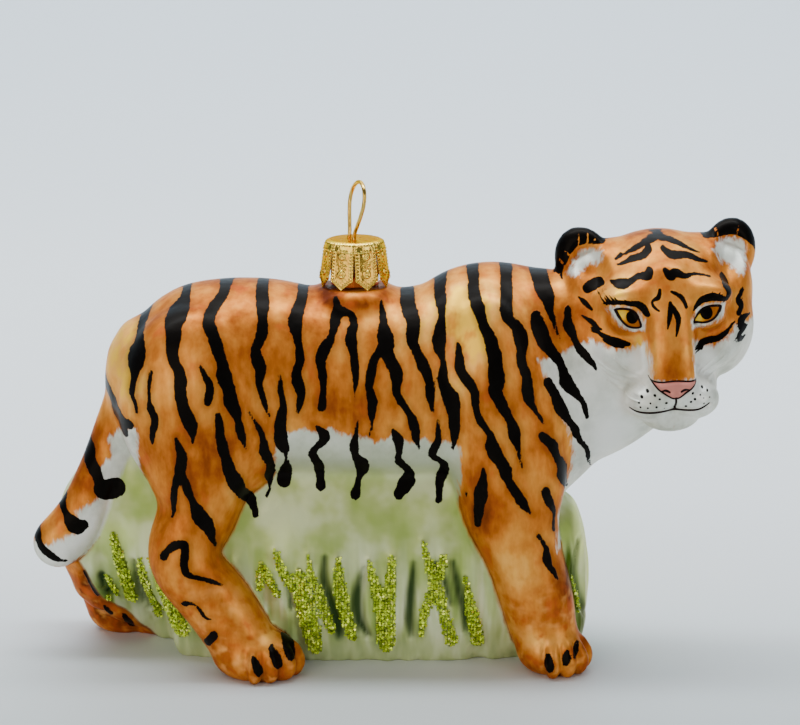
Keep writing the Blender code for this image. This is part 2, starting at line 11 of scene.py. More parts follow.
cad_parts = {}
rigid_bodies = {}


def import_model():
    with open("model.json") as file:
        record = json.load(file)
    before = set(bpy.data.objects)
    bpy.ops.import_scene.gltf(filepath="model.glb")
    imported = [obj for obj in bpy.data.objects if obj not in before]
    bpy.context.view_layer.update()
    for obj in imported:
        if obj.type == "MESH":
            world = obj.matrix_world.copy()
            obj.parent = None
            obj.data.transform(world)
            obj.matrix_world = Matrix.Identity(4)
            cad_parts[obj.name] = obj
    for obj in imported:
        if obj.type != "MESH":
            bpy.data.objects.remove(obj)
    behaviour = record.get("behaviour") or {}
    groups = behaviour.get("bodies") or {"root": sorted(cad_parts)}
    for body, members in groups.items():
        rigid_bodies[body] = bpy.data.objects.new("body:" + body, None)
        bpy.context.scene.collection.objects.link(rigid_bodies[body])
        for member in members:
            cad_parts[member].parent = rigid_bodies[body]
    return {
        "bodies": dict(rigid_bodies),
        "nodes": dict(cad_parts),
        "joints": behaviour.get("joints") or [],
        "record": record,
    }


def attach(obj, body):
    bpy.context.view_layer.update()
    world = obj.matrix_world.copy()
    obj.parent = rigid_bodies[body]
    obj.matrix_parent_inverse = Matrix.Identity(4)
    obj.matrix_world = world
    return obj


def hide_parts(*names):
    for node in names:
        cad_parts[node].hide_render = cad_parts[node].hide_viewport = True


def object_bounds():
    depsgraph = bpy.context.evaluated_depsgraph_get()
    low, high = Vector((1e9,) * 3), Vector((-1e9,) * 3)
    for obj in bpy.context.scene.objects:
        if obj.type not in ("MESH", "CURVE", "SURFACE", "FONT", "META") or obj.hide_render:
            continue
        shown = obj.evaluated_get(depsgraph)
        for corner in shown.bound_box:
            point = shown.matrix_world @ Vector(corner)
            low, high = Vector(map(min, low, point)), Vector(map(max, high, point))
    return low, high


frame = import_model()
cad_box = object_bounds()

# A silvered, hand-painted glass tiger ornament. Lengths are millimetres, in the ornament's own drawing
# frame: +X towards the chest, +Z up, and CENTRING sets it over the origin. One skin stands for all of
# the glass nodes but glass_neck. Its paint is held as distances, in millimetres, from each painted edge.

MM = 0.001
CENTRING = Vector((0.8, 1.6, 0.0))
BODY_HALF_WIDTH = 17.0
LEG_SIDE_Y = 12.0

HEAD_AT = (50.6, -3.0, 66.0)
HEAD_TURN = [math.radians(a) for a in (5.0, -3.0, 3.0)]
EYE_AT = (7.6, -12.4, 4.2)
EAR_AT = (13.9, 2.5, 12.5)
EAR_RADII = (5.6, 3.2, 6.8)
EAR_LEAN = 20.0
EAR_HOLLOW = (3.9, 5.0, 2.1)  # half width, half height and depth
NOSE_AT = (0.0, -18.6, -8.3)

CAP_X = -7.6
SEAT_Z, SEAT_R = 72.8, 7.6
CAP_TOP_Z = 82.0
CAP_TOP_R, CAP_SKIRT_R = 5.7, 6.9
PETALS = 8
WIRE_R, WIRE_SPACING = 0.4, 1.3
LOOP_TOP_Z, LOOP_HALF_WIDTH, LOOP_X = 92.66, 3.6, -0.6
LOOP_LEAN = 0.154
LOOP_TURN = math.radians(68.0)

ACROSS_BODY = Vector((0, 1, 0))
TAIL = [
    (-50.0, 0.0, 54.0, 4.5, 5.0),
    (-53.0, -0.5, 45.0, 4.8, 5.2),
    (-56.0, -1.0, 37.0, 4.8, 5.2),
    (-60.5, -1.5, 28.0, 4.8, 5.2),
    (-66.0, -1.5, 21.5, 4.8, 5.2),
]
FORELEGS = {"foreleg_right": (-1, 30.0), "foreleg_left": (1, 17.0)}
HINDLEGS = {"hindleg_right": (-1, -40.5, -26.5, 16.5), "hindleg_left": (1, -61.0, -53.5, 12.0)}
VOXEL = 0.55
ROUGH_VOXEL = 0.8  # the fineness that the smoothing was judged at
WITHIN_BOX = 0.01  # how far inside the solids' box the skin stays

# The mould's detail, in millimetres up or down.
NOSE_HEIGHT, LID_HEIGHT, WHISKER_HEIGHT = 0.3, 0.22, 0.17
BLADE_HEIGHT, FLUTE_HEIGHT, TOE_HEIGHT = 0.55, 0.75, 0.5
MOUTH_DEPTH, NOSTRIL_DEPTH, GROOVE_DEPTH, TOE_CREASE, SEAM_DEPTH = 0.32, 0.45, 0.9, 0.55, 0.42

PAINT_REACH = 4.0  # how far from a mark its distance is worked out
UNPAINTED = -6.0  # the white's field where there is none
STRIPE_SWAY = 0.38
SEEDS = {"far flank": 1, "far tail": 2, "brows": 4, "far blades": 5, "far grooves": 6, "flakes": 11}


# ---- the masses of the figure ----


def ball(bm, centre, radii, turn=(0.0, 0.0, 0.0), frame=None, rings=24):
    """An ellipsoid, turned by degrees about x, y and z."""
    place = (
        (frame or Matrix.Identity(4))
        @ Matrix.Translation(centre)
        @ Euler([math.radians(a) for a in turn]).to_matrix().to_4x4()
        @ Matrix.Diagonal((*radii, 1.0))
    )
    segments = rings * 8 // 5
    lines = []
    for i in range(1, rings):
        wide, up = math.sin(math.pi * i / rings), math.cos(math.pi * i / rings)
        around = [math.tau * k / segments for k in range(segments)]
        line = [place @ Vector((wide * math.cos(a), wide * math.sin(a), up)) for a in around]
        lines.append([bm.verts.new(at) for at in line])
    top, bottom = (bm.verts.new(place @ Vector((0.0, 0.0, z))) for z in (1.0, -1.0))
    for k in range(segments):
        bm.faces.new((top, lines[0][k - 1], lines[0][k]))
        bm.faces.new((bottom, lines[-1][k], lines[-1][k - 1]))
        for one, two in zip(lines, lines[1:]):
            bm.faces.new((one[k], one[k - 1], two[k - 1], two[k]))


def smooth_stations(stations, steps):
    """Stations with more between them, on a Catmull-Rom curve."""

    def between(before, start, end, after, t):
        slope, bend = end - before, 2 * before - 5 * start + 4 * end - after
        swing = 3 * start - before - 3 * end + after
        return start + 0.5 * (slope * t + bend * t**2 + swing * t**3)

    padded = [stations[0], *stations, stations[-1]]
    found = []
    for span in zip(padded, padded[1:], padded[2:], padded[3:]):
        for step in range(steps):
            found.append([between(*values, step / steps) for values in zip(*span)])
    found.append(list(stations[-1]))
    return found


def limb(bm, stations, square=2.0, round_ends=1.0, frame=None, across=ACROSS_BODY, steps=6, segments=40):
    """A soft tube through stations of x, y, z and two half widths. Its section may be squared."""
    path = smooth_stations(stations, steps)
    centres = [Vector(s[:3]) for s in path]
    rings = []
    for i, (_, _, _, wide, deep) in enumerate(path):
        along = (centres[min(i + 1, len(path) - 1)] - centres[max(i - 1, 0)]).normalized()
        side = (across - along * along.dot(across)).normalized()
        rings.append((centres[i], along, side, wide, deep))
    ends = []
    for (centre, along, side, wide, deep), sign in ((rings[0], -1), (rings[-1], 1)):
        bulge = sign * min(wide, deep) * round_ends
        ends.append(
            [
                (centre + along * bulge * math.sin(a), along, side, wide * math.cos(a), deep * math.cos(a))
                for a in (math.radians(80), math.radians(55), math.radians(28))
            ]
        )
    loops = []
    for centre, along, side, wide, deep in [*ends[0], *rings, *reversed(ends[1])]:
        loop = []
        for k in range(segments):
            c, s = math.cos(2 * math.pi * k / segments), math.sin(2 * math.pi * k / segments)
            a = math.copysign(abs(c) ** (2 / square), c) * wide
            b = math.copysign(abs(s) ** (2 / square), s) * deep
            at = centre + side * a + along.cross(side) * b
            loop.append(bm.verts.new((frame or Matrix.Identity(4)) @ at))
        loops.append(loop)
    for one, two in zip(loops, loops[1:]):
        for k in range(segments):
            bm.faces.new((one[k], one[k - 1], two[k - 1], two[k]))
    bm.faces.new(loops[0])
    bm.faces.new(list(reversed(loops[-1])))


def head_frame():
    """The head's own frame: its face looks along -y, with z up between the ears."""
    return Matrix.Translation(HEAD_AT) @ Euler(HEAD_TURN).to_matrix().to_4x4()


def trunk_and_neck(bm):
    limb(
        bm,
        [
            (-46.5, 0, 54.0, 13.5, 13.5),
            (-42.0, 0, 54.5, 15.5, 16.8),
            (-36.0, 0, 54.8, BODY_HALF_WIDTH, 18.8),
            (-26.0, 0, 54.4, BODY_HALF_WIDTH, 19.6),
            (-16.0, 0, 53.2, BODY_HALF_WIDTH - 0.5, 19.0),
            (-4.0, 0, 52.8, BODY_HALF_WIDTH - 0.5, 19.0),
            (8.0, 0, 53.4, BODY_HALF_WIDTH - 0.5, 19.6),
            (18.0, 0, 55.4, BODY_HALF_WIDTH - 1.0, 21.8),
            (28.0, 0, 56.0, 14.5, 20.3),
            (36.0, -1, 57.4, 12.5, 19.0),
            (43.0, -2, 60.0, 12.0, 16.5),
            (48.0, -2, 63.0, 11.0, 13.5),
        ],
        round_ends=0.7,
    )
    limb(bm, [(26.0, -1.0, 38.5, 9.5, 9.5), (32.6, -1.5, 46.0, 9.8, 9.8), (38.5, -2.0, 54.0, 9.0, 9.0)])
    for side in (-1, 1):
        ball(bm, (-36.0, side * 7.5, 51.0), (17.0, 12.0, 20.0), turn=(0, -8, 0))
        ball(bm, (18.5, side * 7.0, 54.5), (12.5, 11.5, 20.0), turn=(0, -6, 0))
    ball(bm, (CAP_X, 0.0, SEAT_Z - 2.5), (9.0, 9.0, 4.0))


def foreleg_stations(side, foot_x):
    knee_x = (foot_x + 22.5) / 2
    return [
        (20.0, side * 9.5, 50.0, 8.0, 12.0),
        (22.0, side * 10.5, 38.0, 8.0, 11.0),
        (22.6, side * 11.0, 30.5, 7.6, 9.4),
        (knee_x - 1.5, side * 11.3, 22.5, 7.0, 7.4),
        (knee_x + 1.0, side * 11.6, 14.5, 6.7, 7.0),
        (foot_x - 1.0, side * LEG_SIDE_Y, 7.0, 6.4, 6.4),
        (foot_x, side * (LEG_SIDE_Y + 0.5), 4.5, 6.0, 5.5),
    ]


def hindleg_stations(side, hock_x, foot_x, foot_y):
    return [
        (-36.5, side * 9.0, 50.0, 9.5, 14.5),
        (-37.0, side * 10.5, 39.0, 9.0, 11.0),
        ((hock_x - 37.0) / 2 + 1.0, side * 11.0, 31.0, 7.8, 7.8),
        (hock_x, side * (foot_y + 11.0) / 2, 22.5, 6.6, 6.6),
        ((hock_x + foot_x) / 2 - 0.5, side * (foot_y - 2.0), 13.5, 6.2, 6.6),
        (foot_x - 3.0, side * (foot_y - 1.0), 7.0, 6.2, 6.4),
    ]


def tail(bm):
    limb(bm, TAIL)


def legs(bm):
    for side, foot_x in FORELEGS.values():
        limb(bm, foreleg_stations(side, foot_x))
        ball(bm, (foot_x + 0.2, side * (LEG_SIDE_Y + 1.0), 4.0), (7.0, 7.2, 5.2))
    for side, hock_x, foot_x, foot_y in HINDLEGS.values():
        limb(bm, hindleg_stations(side, hock_x, foot_x, foot_y))
        ball(bm, (foot_x, side * foot_y, 4.0), (8.8, 6.8, 5.4), turn=(0, 0, side * 10))


def paws():
    """side, centre x, centre y, and how far the toes stand from it along x and y."""
    found = [(side, foot_x + 0.2, LEG_SIDE_Y + 1.0, 5.2, 5.2) for side, foot_x in FORELEGS.values()]
    return found + [(side, foot_x, foot_y, 6.6, 4.8) for side, _, foot_x, foot_y in HINDLEGS.values()]


def toes(bm):
    for side, x, y, reach_x, reach_y in paws():
        for turn in (0, 30, 60, 90):
            angle = math.radians(turn)
            at = (x + reach_x * math.cos(angle), side * (y + reach_y * math.sin(angle)), 2.9)
            ball(bm, at, (2.5, 2.5, 2.9))


def grass(bm):
    limb(
        bm,
        [
            (-56.0, 8.0, 7.0, 6.0, 9.0),
            (-50.0, 5.5, 18.0, 9.0, 20.0),
            (-42.0, 2.5, 21.5, 11.0, 24.0),
            (-30.0, 0.5, 20.0, 12.0, 23.0),
            (-15.0, 0, 19.5, 12.5, 22.5),
            (0.0, 0, 19.5, 12.5, 22.5),
            (15.0, 0, 18.5, 12.5, 21.5),
            (24.0, 0.5, 16.0, 11.5, 19.0),
            (30.0, 1.0, 15.0, 11.0, 17.0),
            (34.0, 1.0, 15.0, 10.5, 16.0),
        ],
        square=3.0,
        round_ends=0.4,
    )
    limb(
        bm,
        [
            (-50.0, 11.0, 3.0, 5.0, 5.0),
            (-42.0, 9.0, 4.0, 8.0, 6.0),
            (-34.0, 6.0, 5.0, 11.0, 8.0),
            (-26.0, 1.5, 6.0, 12.0, 9.0),
            (-15.0, 0.0, 6.0, 12.0, 9.0),
        ],
        round_ends=0.6,
    )


def head(bm):
    frame = head_frame()
    ball(bm, (0, 1.5, 3.7), (15.5, 15.0, 14.2), frame=frame)
    for side in (-1, 1):
        ball(bm, (side * 8.0, 2.0, 8.8), (9.0, 8.0, 8.0), frame=frame)
        ball(bm, (side * 13.4, 1.0, 6.0), (4.8, 7.0, 9.0), frame=frame)
        ball(bm, (side * 9.6, -1.0, -0.2), (8.4, 9.6, 10.6), frame=frame)
        ball(bm, (side * 7.0, -9.4, 8.6), (6.0, 4.6, 3.0), turn=(0, side * 8, 0), frame=frame)
        ball(bm, (side * 8.4, -8.4, -2.4), (6.0, 5.0, 4.2), turn=(0, side * -12, 0), frame=frame)
    ball(bm, (0, -7.5, -10.4), (9.8, 10.0, 6.6), frame=frame)
    bridge = [
        (0, -8.0, 11.0, 4.6, 4.0),
        (0, -11.8, 4.5, 4.6, 4.2),
        (0, -15.0, -2.0, 4.5, 4.0),
        (0, -17.0, -7.0, 4.4, 3.0),
    ]
    limb(bm, bridge, square=3.0, frame=frame, across=Vector((1, 0, 0)))


def face(bm):
    frame = head_frame()
    for side in (-1, 1):
        x, y, z = EYE_AT
        ball(bm, (side * x, y + 1.2, z), (3.7, 2.6, 2.5), turn=(0, side * -10, side * 14), frame=frame)
        ball(bm, (side * 4.0, -14.2, -10.6), (5.0, 5.2, 3.8), turn=(0, 0, side * 18), frame=frame)
        x, y, z = EAR_AT
        ball(bm, (side * x, y, z), EAR_RADII, turn=(-8, side * EAR_LEAN, side * 14), frame=frame)
    x, y, z = NOSE_AT
    ball(bm, (x, y + 0.6, z), (4.2, 2.2, 2.2), frame=frame)
    ball(bm, (0, -11.8, -14.2), (5.8, 5.4, 3.2), frame=frame)


def linked(name, data):
    obj = bpy.data.objects.new(name, data)
    bpy.context.scene.collection.objects.link(obj)
    return obj


def object_from(bm, name):
    mesh = bpy.data.meshes.new(name)
    bm.to_mesh(mesh)
    bm.free()
    return linked(name, mesh)


def smoothed(mesh):
    mesh.polygons.foreach_set("use_smooth", np.ones(len(mesh.polygons), bool))


def baked_mesh(obj):
    """The object's mesh with its modifiers applied. The object is removed."""
    bpy.context.view_layer.update()
    mesh = bpy.data.meshes.new_from_object(obj.evaluated_get(bpy.context.evaluated_depsgraph_get()))
    bpy.data.objects.remove(obj)
    return mesh


def blended(rounds, *masses):
    """The masses as one skin, in millimetres."""
    bm = bmesh.new()
    for add in masses:
        add(bm)
    rough = object_from(bm, "clay")
    remesh = rough.modifiers.new("Join", "REMESH")
    remesh.mode = "VOXEL"
    remesh.voxel_size = VOXEL
    soften = rough.modifiers.new("Soften", "SMOOTH")
    soften.factor = 0.5
    soften.iterations = round(rounds * (ROUGH_VOXEL / VOXEL) ** 2)
    return baked_mesh(rough)


def tree_of(*masses):
    """The masses as they stand, to measure distances from."""
    bm = bmesh.new()
    for add in masses:
        add(bm)
    found = BVHTree.FromBMesh(bm)
    bm.free()
    return found


# ---- painted marks: strokes are (x, z, half width) along a brush mark ----

# The near flank, from the rump to the neck, seen square on.
FLANK = [
    [(-46.5, 71, 0.9), (-47.8, 66, 1.1), (-48.2, 61, 1.2), (-49.2, 57, 0.9), (-48.8, 51.5, 0.25)],
    [(-39, 76, 1.2), (-40, 71, 1.25), (-41.6, 67.5, 1.2), (-41, 62.5, 1.0), (-40, 57, 1.2),
     (-39, 52.5, 1.2), (-37.4, 46.5, 0.2)],
    [(-32.5, 78, 1.4), (-32.5, 73, 1.4), (-34.4, 68.5, 1.3), (-32.8, 64, 1.1), (-31.3, 58, 1.3),
     (-29.6, 52, 1.2), (-27.6, 45, 0.2)],
    [(-25.2, 78, 1.1), (-25.2, 73, 1.15), (-24.8, 68.5, 1.1), (-25.4, 62.5, 0.95), (-25.1, 57, 0.9),
     (-23.4, 51, 0.2)],
    [(-17.4, 78, 1.2), (-17.2, 72.5, 1.2), (-18.2, 67.5, 1.25), (-17.9, 63.5, 1.0), (-18.4, 59, 0.95),
     (-18, 55.5, 0.95), (-18.8, 51.5, 0.2)],
    [(-11, 71.5, 0.6), (-10.7, 69.3, 1.1), (-11.6, 66.3, 0.95), (-13, 62, 0.9), (-13, 57, 0.75),
     (-13.3, 52.5, 0.65)],
    [(-10.7, 69.6, 1.0), (-8.4, 68.9, 0.9), (-7.7, 66.5, 0.95), (-7.7, 63, 0.85), (-7, 59.5, 0.7),
     (-7.2, 54.5, 0.15)],
    [(-2.5, 71, 0.3), (-2.2, 68, 0.9), (-1.5, 64, 1.2)],
    [(-1.6, 64, 1.0), (-4, 61, 0.95), (-4.5, 57, 0.85), (-4.4, 52.5, 0.8), (-4.2, 46.2, 0.15)],
    [(-1.4, 64, 1.1), (0, 59, 1.2), (1.3, 54, 1.0), (3.7, 49, 0.8), (5.5, 43.5, 0.15)],
    [(2, 79, 1.1), (2.1, 73, 1.2), (3.4, 68, 1.0), (3.8, 65, 0.9), (5.2, 61, 0.95), (6.5, 56, 0.9),
     (6.9, 51.5, 0.2)],
    [(9.3, 79, 1.2), (9.2, 74, 1.3), (8.7, 69.5, 1.1), (8.5, 65, 1.1), (8.8, 60.5, 1.0), (10.4, 54.5, 1.35),
     (11.5, 49, 1.25), (11, 44, 0.2)],
    [(14.9, 80, 1.1), (15, 75.5, 1.15), (15.6, 71, 1.1), (16.6, 68, 1.0), (18.2, 64, 1.4), (19, 60, 1.3),
     (18.6, 56.5, 1.4)],
    [(18.6, 56.5, 1.4), (21.4, 51.2, 1.1), (23, 46.5, 0.9), (24.3, 41, 0.15)],
    [(21.2, 80, 1.1), (21.3, 75.5, 1.15), (21, 70, 1.05), (22.7, 67, 1.0), (24.2, 61, 1.05),
     (25.5, 55, 0.95), (27.6, 49.3, 0.15)],
    [(27, 77, 1.5), (27.9, 74, 1.6), (28.8, 72, 1.4), (29.4, 69.5, 0.7), (31, 64.8, 0.15)],
    [(32.6, 70, 0.7), (33.3, 66, 0.95), (35.6, 62.2, 0.75), (37.8, 59.3, 0.2)],
    [(26.6, 69, 1.0), (27.8, 65.5, 1.2), (31, 60.5, 0.95), (33.8, 54.7, 0.9), (36.5, 49.7, 0.3)],
    [(28.8, 57, 0.8), (31.2, 52.3, 0.95), (33.4, 48.2, 0.8), (36.4, 43, 0.55), (37.5, 38.7, 0.2)],
    [(27.7, 47.2, 0.7), (30.2, 43.8, 0.85), (31.8, 39.5, 0.9), (33, 34.8, 0.3)],
    [(11.9, 64.5, 0.3), (12.5, 60.5, 0.95), (14.4, 56, 0.7), (15, 52, 0.8), (17.8, 47.7, 1.2),
     (19, 43.5, 1.1), (21.7, 39.3, 1.0), (24, 35, 0.8), (26, 32.2, 0.15)],
    [(-45.4, 59.5, 0.25), (-46.1, 54.5, 0.6), (-44.6, 50, 0.9), (-46.1, 45.8, 0.25)],
    [(-36.1, 60.8, 0.3), (-35, 57.3, 0.75), (-35.5, 54.2, 0.5)],
    [(-21.5, 59.6, 0.2), (-21.2, 52.5, 0.85), (-21.2, 46.5, 0.9), (-20.6, 44.3, 1.1)],
    [(-32.9, 51.8, 0.5), (-32, 46.5, 1.1), (-31, 42, 0.95), (-29.6, 37.5, 1.0), (-27.4, 32.5, 0.9),
     (-26.3, 30.3, 0.7)],
    [(-40.8, 47.2, 0.3), (-40, 43.3, 0.9), (-40.6, 39, 0.9), (-42, 31.5, 0.2)],
    [(-39.6, 40.5, 0.6), (-37.8, 35.5, 1.0), (-35.5, 30, 0.95), (-33.6, 25.6, 0.3)],
    [(-27.2, 52.2, 0.2), (-25.6, 48.5, 0.5), (-24.4, 44, 0.85), (-23.6, 39, 0.8), (-24.3, 33.8, 0.3)],
    [(-43.6, 24.2, 0.8), (-42.6, 26, 1.0), (-40.3, 26.8, 0.65), (-39.7, 24, 0.6), (-39, 21.2, 0.5),
     (-36, 20.2, 0.45), (-33.2, 18.6, 0.2)],
    [(-39.8, 15.2, 0.6), (-38, 15.2, 0.3), (-36, 13, 0.35), (-34.3, 12.4, 0.25)],
    [(-35.6, 7.2, 0.7), (-34.6, 9.2, 0.8)],
    [(-20.6, 43.6, 0.5), (-20.8, 40.5, 0.9), (-20.9, 36.8, 1.15)],
    [(-14.8, 49, 0.25), (-13.2, 46.6, 0.8), (-15.2, 43, 0.95), (-14.2, 39.5, 0.9), (-14.4, 35.8, 1.2)],
    [(-6.6, 50.4, 0.2), (-7.7, 46.5, 0.8), (-7.8, 43.4, 0.55)],
    [(-7.4, 42.6, 0.7), (-6, 40.2, 1.3), (-6.9, 37, 0.7), (-7.4, 34.2, 0.75)],
    [(-0.4, 48.3, 0.3), (1.0, 45.8, 0.75), (0.5, 42.0, 0.9), (2.9, 38.8, 1.1), (1.1, 34.2, 1.15)],
    [(8.2, 50.4, 0.25), (8, 46.5, 0.8), (7, 42.9, 0.85), (9.3, 40.4, 0.85), (8.7, 36.5, 0.8),
     (8.2, 33.2, 0.75)],
    [(16.6, 41, 0.3), (16.4, 37.2, 0.95), (15.8, 33, 1.1), (15.4, 29.8, 0.8)],
    [(28.5, 36.5, 0.6), (29.4, 33, 0.6), (30.3, 28.2, 0.2)],
    [(27.2, 28, 0.45), (29, 24, 0.7), (30.8, 18.8, 0.25)],
    [(13.6, 35.8, 0.2), (13.5, 34.8, 0.2)],
]

# The near side of the tail.
TAIL_BANDS = [
    [(-57.5, 58, 0.5), (-55.6, 55.6, 0.8), (-54.4, 52.6, 0.9), (-53.2, 50.0, 1.0), (-52.2, 48.4, 0.9)],
    [(-53.4, 50.0, 0.6), (-51.6, 48.9, 1.2), (-49.8, 48.7, 1.0)],
    [(-51.6, 48.6, 1.0), (-51.0, 46.4, 0.5)],
    [(-60.5, 45, 0.8), (-58.8, 42, 1.1), (-58.2, 38.6, 1.0), (-57.0, 35.4, 1.3), (-55.6, 33.6, 1.6),
     (-54.0, 34.0, 1.5)],
    [(-64.6, 38.4, 0.5), (-65.2, 35.4, 0.8), (-64.8, 31.2, 0.95), (-63.4, 28.0, 1.2), (-61.6, 26.4, 1.4),
     (-60.2, 26.6, 1.2)],
    [(-69.8, 30.4, 0.4), (-70.0, 25.6, 0.8), (-68.6, 22.2, 0.75), (-66.4, 19.8, 0.8), (-64.0, 19.0, 0.8)],
]

# Marks on the face, seen square on to it: (x, z, half width) from between the eyes.
FACE_STROKES = [
    [(-7.2, 15.1, 0.12), (-5, 16.1, 0.28), (-2.6, 17.0, 0.36), (-0.6, 17.5, 0.34), (0.6, 17.6, 0.2)],
    [(-0.2, 17.5, 0.3), (1.6, 17.2, 0.34), (3.6, 16.5, 0.34), (5.4, 15.6, 0.22), (7.2, 14.8, 0.1)],
    [(-8.4, 13.6, 0.15), (-5.6, 14.8, 0.45), (-3.8, 15.3, 0.5), (-2.4, 16.3, 0.55)],
    [(-8.6, 14.4, 0.2), (-7.5, 15.1, 0.25)],
    [(0.2, 16.2, 0.5), (1.4, 15.4, 0.6), (4.4, 15, 0.5), (6.6, 14, 0.35), (8.4, 13.3, 0.15)],
    [(-10, 11, 0.2), (-8.4, 11.2, 0.55), (-6.6, 11.7, 0.35), (-5, 12.4, 0.45), (-3.6, 12.6, 0.7),
     (-3, 13.4, 0.6)],
    [(-0.3, 13.5, 0.5), (0.6, 12.6, 0.8), (1.6, 13.0, 0.75), (3.4, 12.3, 0.45), (5.4, 12.2, 0.2),
     (8.4, 11.4, 0.1)],
    [(-14.3, 9.2, 0.8), (-13.2, 9.7, 0.85), (-11.6, 10.5, 0.6)],
    [(-1.7, 10.4, 0.3), (-2.1, 9.2, 0.4), (-3.2, 8.6, 0.25), (-3.1, 7.7, 0.25), (-2.2, 7, 0.15)],
    [(0.4, 10.1, 0.25), (2.2, 9, 0.4), (3.0, 7.3, 0.3)],
    [(0, 8.2, 0.35), (-0.3, 6.2, 0.5), (-0.9, 4, 0.15)],
    [(0.1, 8.0, 0.35), (1.2, 5.6, 0.55), (0.6, 2.7, 0.15)],
    [(10.8, 7.7, 0.45), (11.6, 8.9, 0.7), (11.0, 10.2, 0.7)],
    [(-12.2, 0.7, 0.15), (-10.6, 0.1, 0.35), (-8.6, -0.4, 0.2)],
]
# Marks made of short hairs: the mark, and which way its hairs lie, in degrees up from +x.
BROWS = [
    ([(-4.3, 6.2, 0.55), (-4.9, 7.3, 0.75), (-6, 8.1, 0.65), (-7.2, 8.3, 0.5), (-8.8, 8.6, 0.4),
      (-10.6, 8.4, 0.4), (-12, 7.9, 0.15)], 138),
    ([(4.9, 6.9, 0.4), (6.1, 8.2, 0.7), (8, 8.6, 0.8), (9.8, 8.1, 0.6), (10.8, 7.6, 0.35)], 40),
    ([(-7.6, 0.1, 0.35), (-9.6, 0.4, 0.75), (-11.4, 1.0, 0.6), (-12.4, 1.6, 0.4), (-13.4, 2.3, 0.2)], 158),
    ([(5.9, -1.5, 0.3), (5.9, -0.7, 0.55), (7, -0.1, 0.6), (9.4, 0.2, 0.5), (11, 0.9, 0.4),
      (12.4, 2.0, 0.1)], -152),
    ([(15.4, 7.2, 0.15), (14, 5.9, 0.6), (14.5, 4.7, 0.6), (13.9, 3.7, 0.6)], 62),
    ([(15.9, 2.6, 0.3), (14.5, 2.4, 0.8), (14.2, 1.2, 0.75), (15, 0.7, 0.5), (13.6, -0.3, 0.55),
      (14.2, -1.2, 0.45), (14.9, -0.9, 0.2)], -170),
    ([(-15.8, 7.6, 0.15), (-14.9, 6.8, 0.5), (-13.8, 5.8, 0.3)], 140),
    ([(-15.3, 4.3, 0.15), (-14, 3.7, 0.5), (-13, 2.6, 0.45)], 155),
]
FACE_SPOTS = [
    (-5.0, -7.6, 0.28), (-6.1, -8.5, 0.26), (-6.7, -9.5, 0.22), (-6.5, -10.3, 0.2), (-5.2, -10.4, 0.16),
    (-4.7, -9.5, 0.2), (-3.8, -8.1, 0.27), (-3.0, -8.7, 0.2), (-1.8, -9.5, 0.24), (-3.6, -10.3, 0.22),
    (-2.1, -10.7, 0.16), (5.3, -7.6, 0.22), (6.2, -8.2, 0.2), (6.5, -9.3, 0.15), (5.3, -9.2, 0.18),
    (5.3, -10.2, 0.17), (3.6, -9.2, 0.28), (3.2, -8.0, 0.25), (2.8, -9.6, 0.24), (1.9, -10.5, 0.24),
    (4.7, -8.6, 0.17),
]
# The outlines of the eyes, from the outer corner over the top: (x, z).
EYE_LEFT_OUTLINE = [
    (-10.0, 7.0), (-8.4, 7.3), (-6.9, 6.8), (-5.9, 5.5), (-5.4, 3.7), (-6.6, 3.6), (-8.0, 4.1), (-9.2, 5.4),
]
EYE_RIGHT_OUTLINE = [
    (4.4, 4.1), (5.3, 5.4), (6.6, 6.5), (8.2, 6.8), (9.7, 6.4), (8.9, 5.0), (7.6, 4.1), (6.0, 3.8),
]
EYE_WHITES = [
    [(-11.4, 7.3), (-9.6, 7.9), (-7.2, 7.4), (-5.5, 6.0), (-4.9, 3.6), (-5.8, 2.9), (-7.6, 3.1),
     (-9.4, 4.3), (-10.6, 5.8)],
    [(3.8, 3.4), (4.4, 5.4), (5.5, 6.8), (7.4, 7.3), (9.9, 7.1), (10.7, 6.3), (10.0, 4.8), (8.4, 3.7),
     (6.2, 3.1), (4.8, 2.9)],
]
NOSE_OUTLINE = [
    (-4.2, -5.7), (-2.4, -5.5), (0.0, -5.3), (2.4, -5.6), (4.2, -6.0), (3.2, -7.1), (1.6, -7.9), (0.0, -8.7),
    (-1.6, -8.0), (-3.2, -6.9),
]
MOUTH = [
    (-8.2, -11.0, 0.12), (-7, -11.4, 0.2), (-5.2, -11.5, 0.24), (-2.4, -11.5, 0.24), (0.0, -11.6, 0.26),
    (2.4, -11.5, 0.24), (4.4, -11.3, 0.22), (6.4, -10.4, 0.12),
]
# Fine lines in dark enamel: the mouth, the cleft above it, and the nostrils.
MOUTH_LINES = [
    MOUTH,
    [(0, -8.6, 0.22), (0.1, -11.5, 0.24)],
    [(-2.6, -7.3, 0.12), (-1.9, -7.0, 0.3), (-1.2, -7.3, 0.2)],
    [(1.0, -7.3, 0.2), (1.7, -7.1, 0.3), (2.5, -7.2, 0.12)],
]
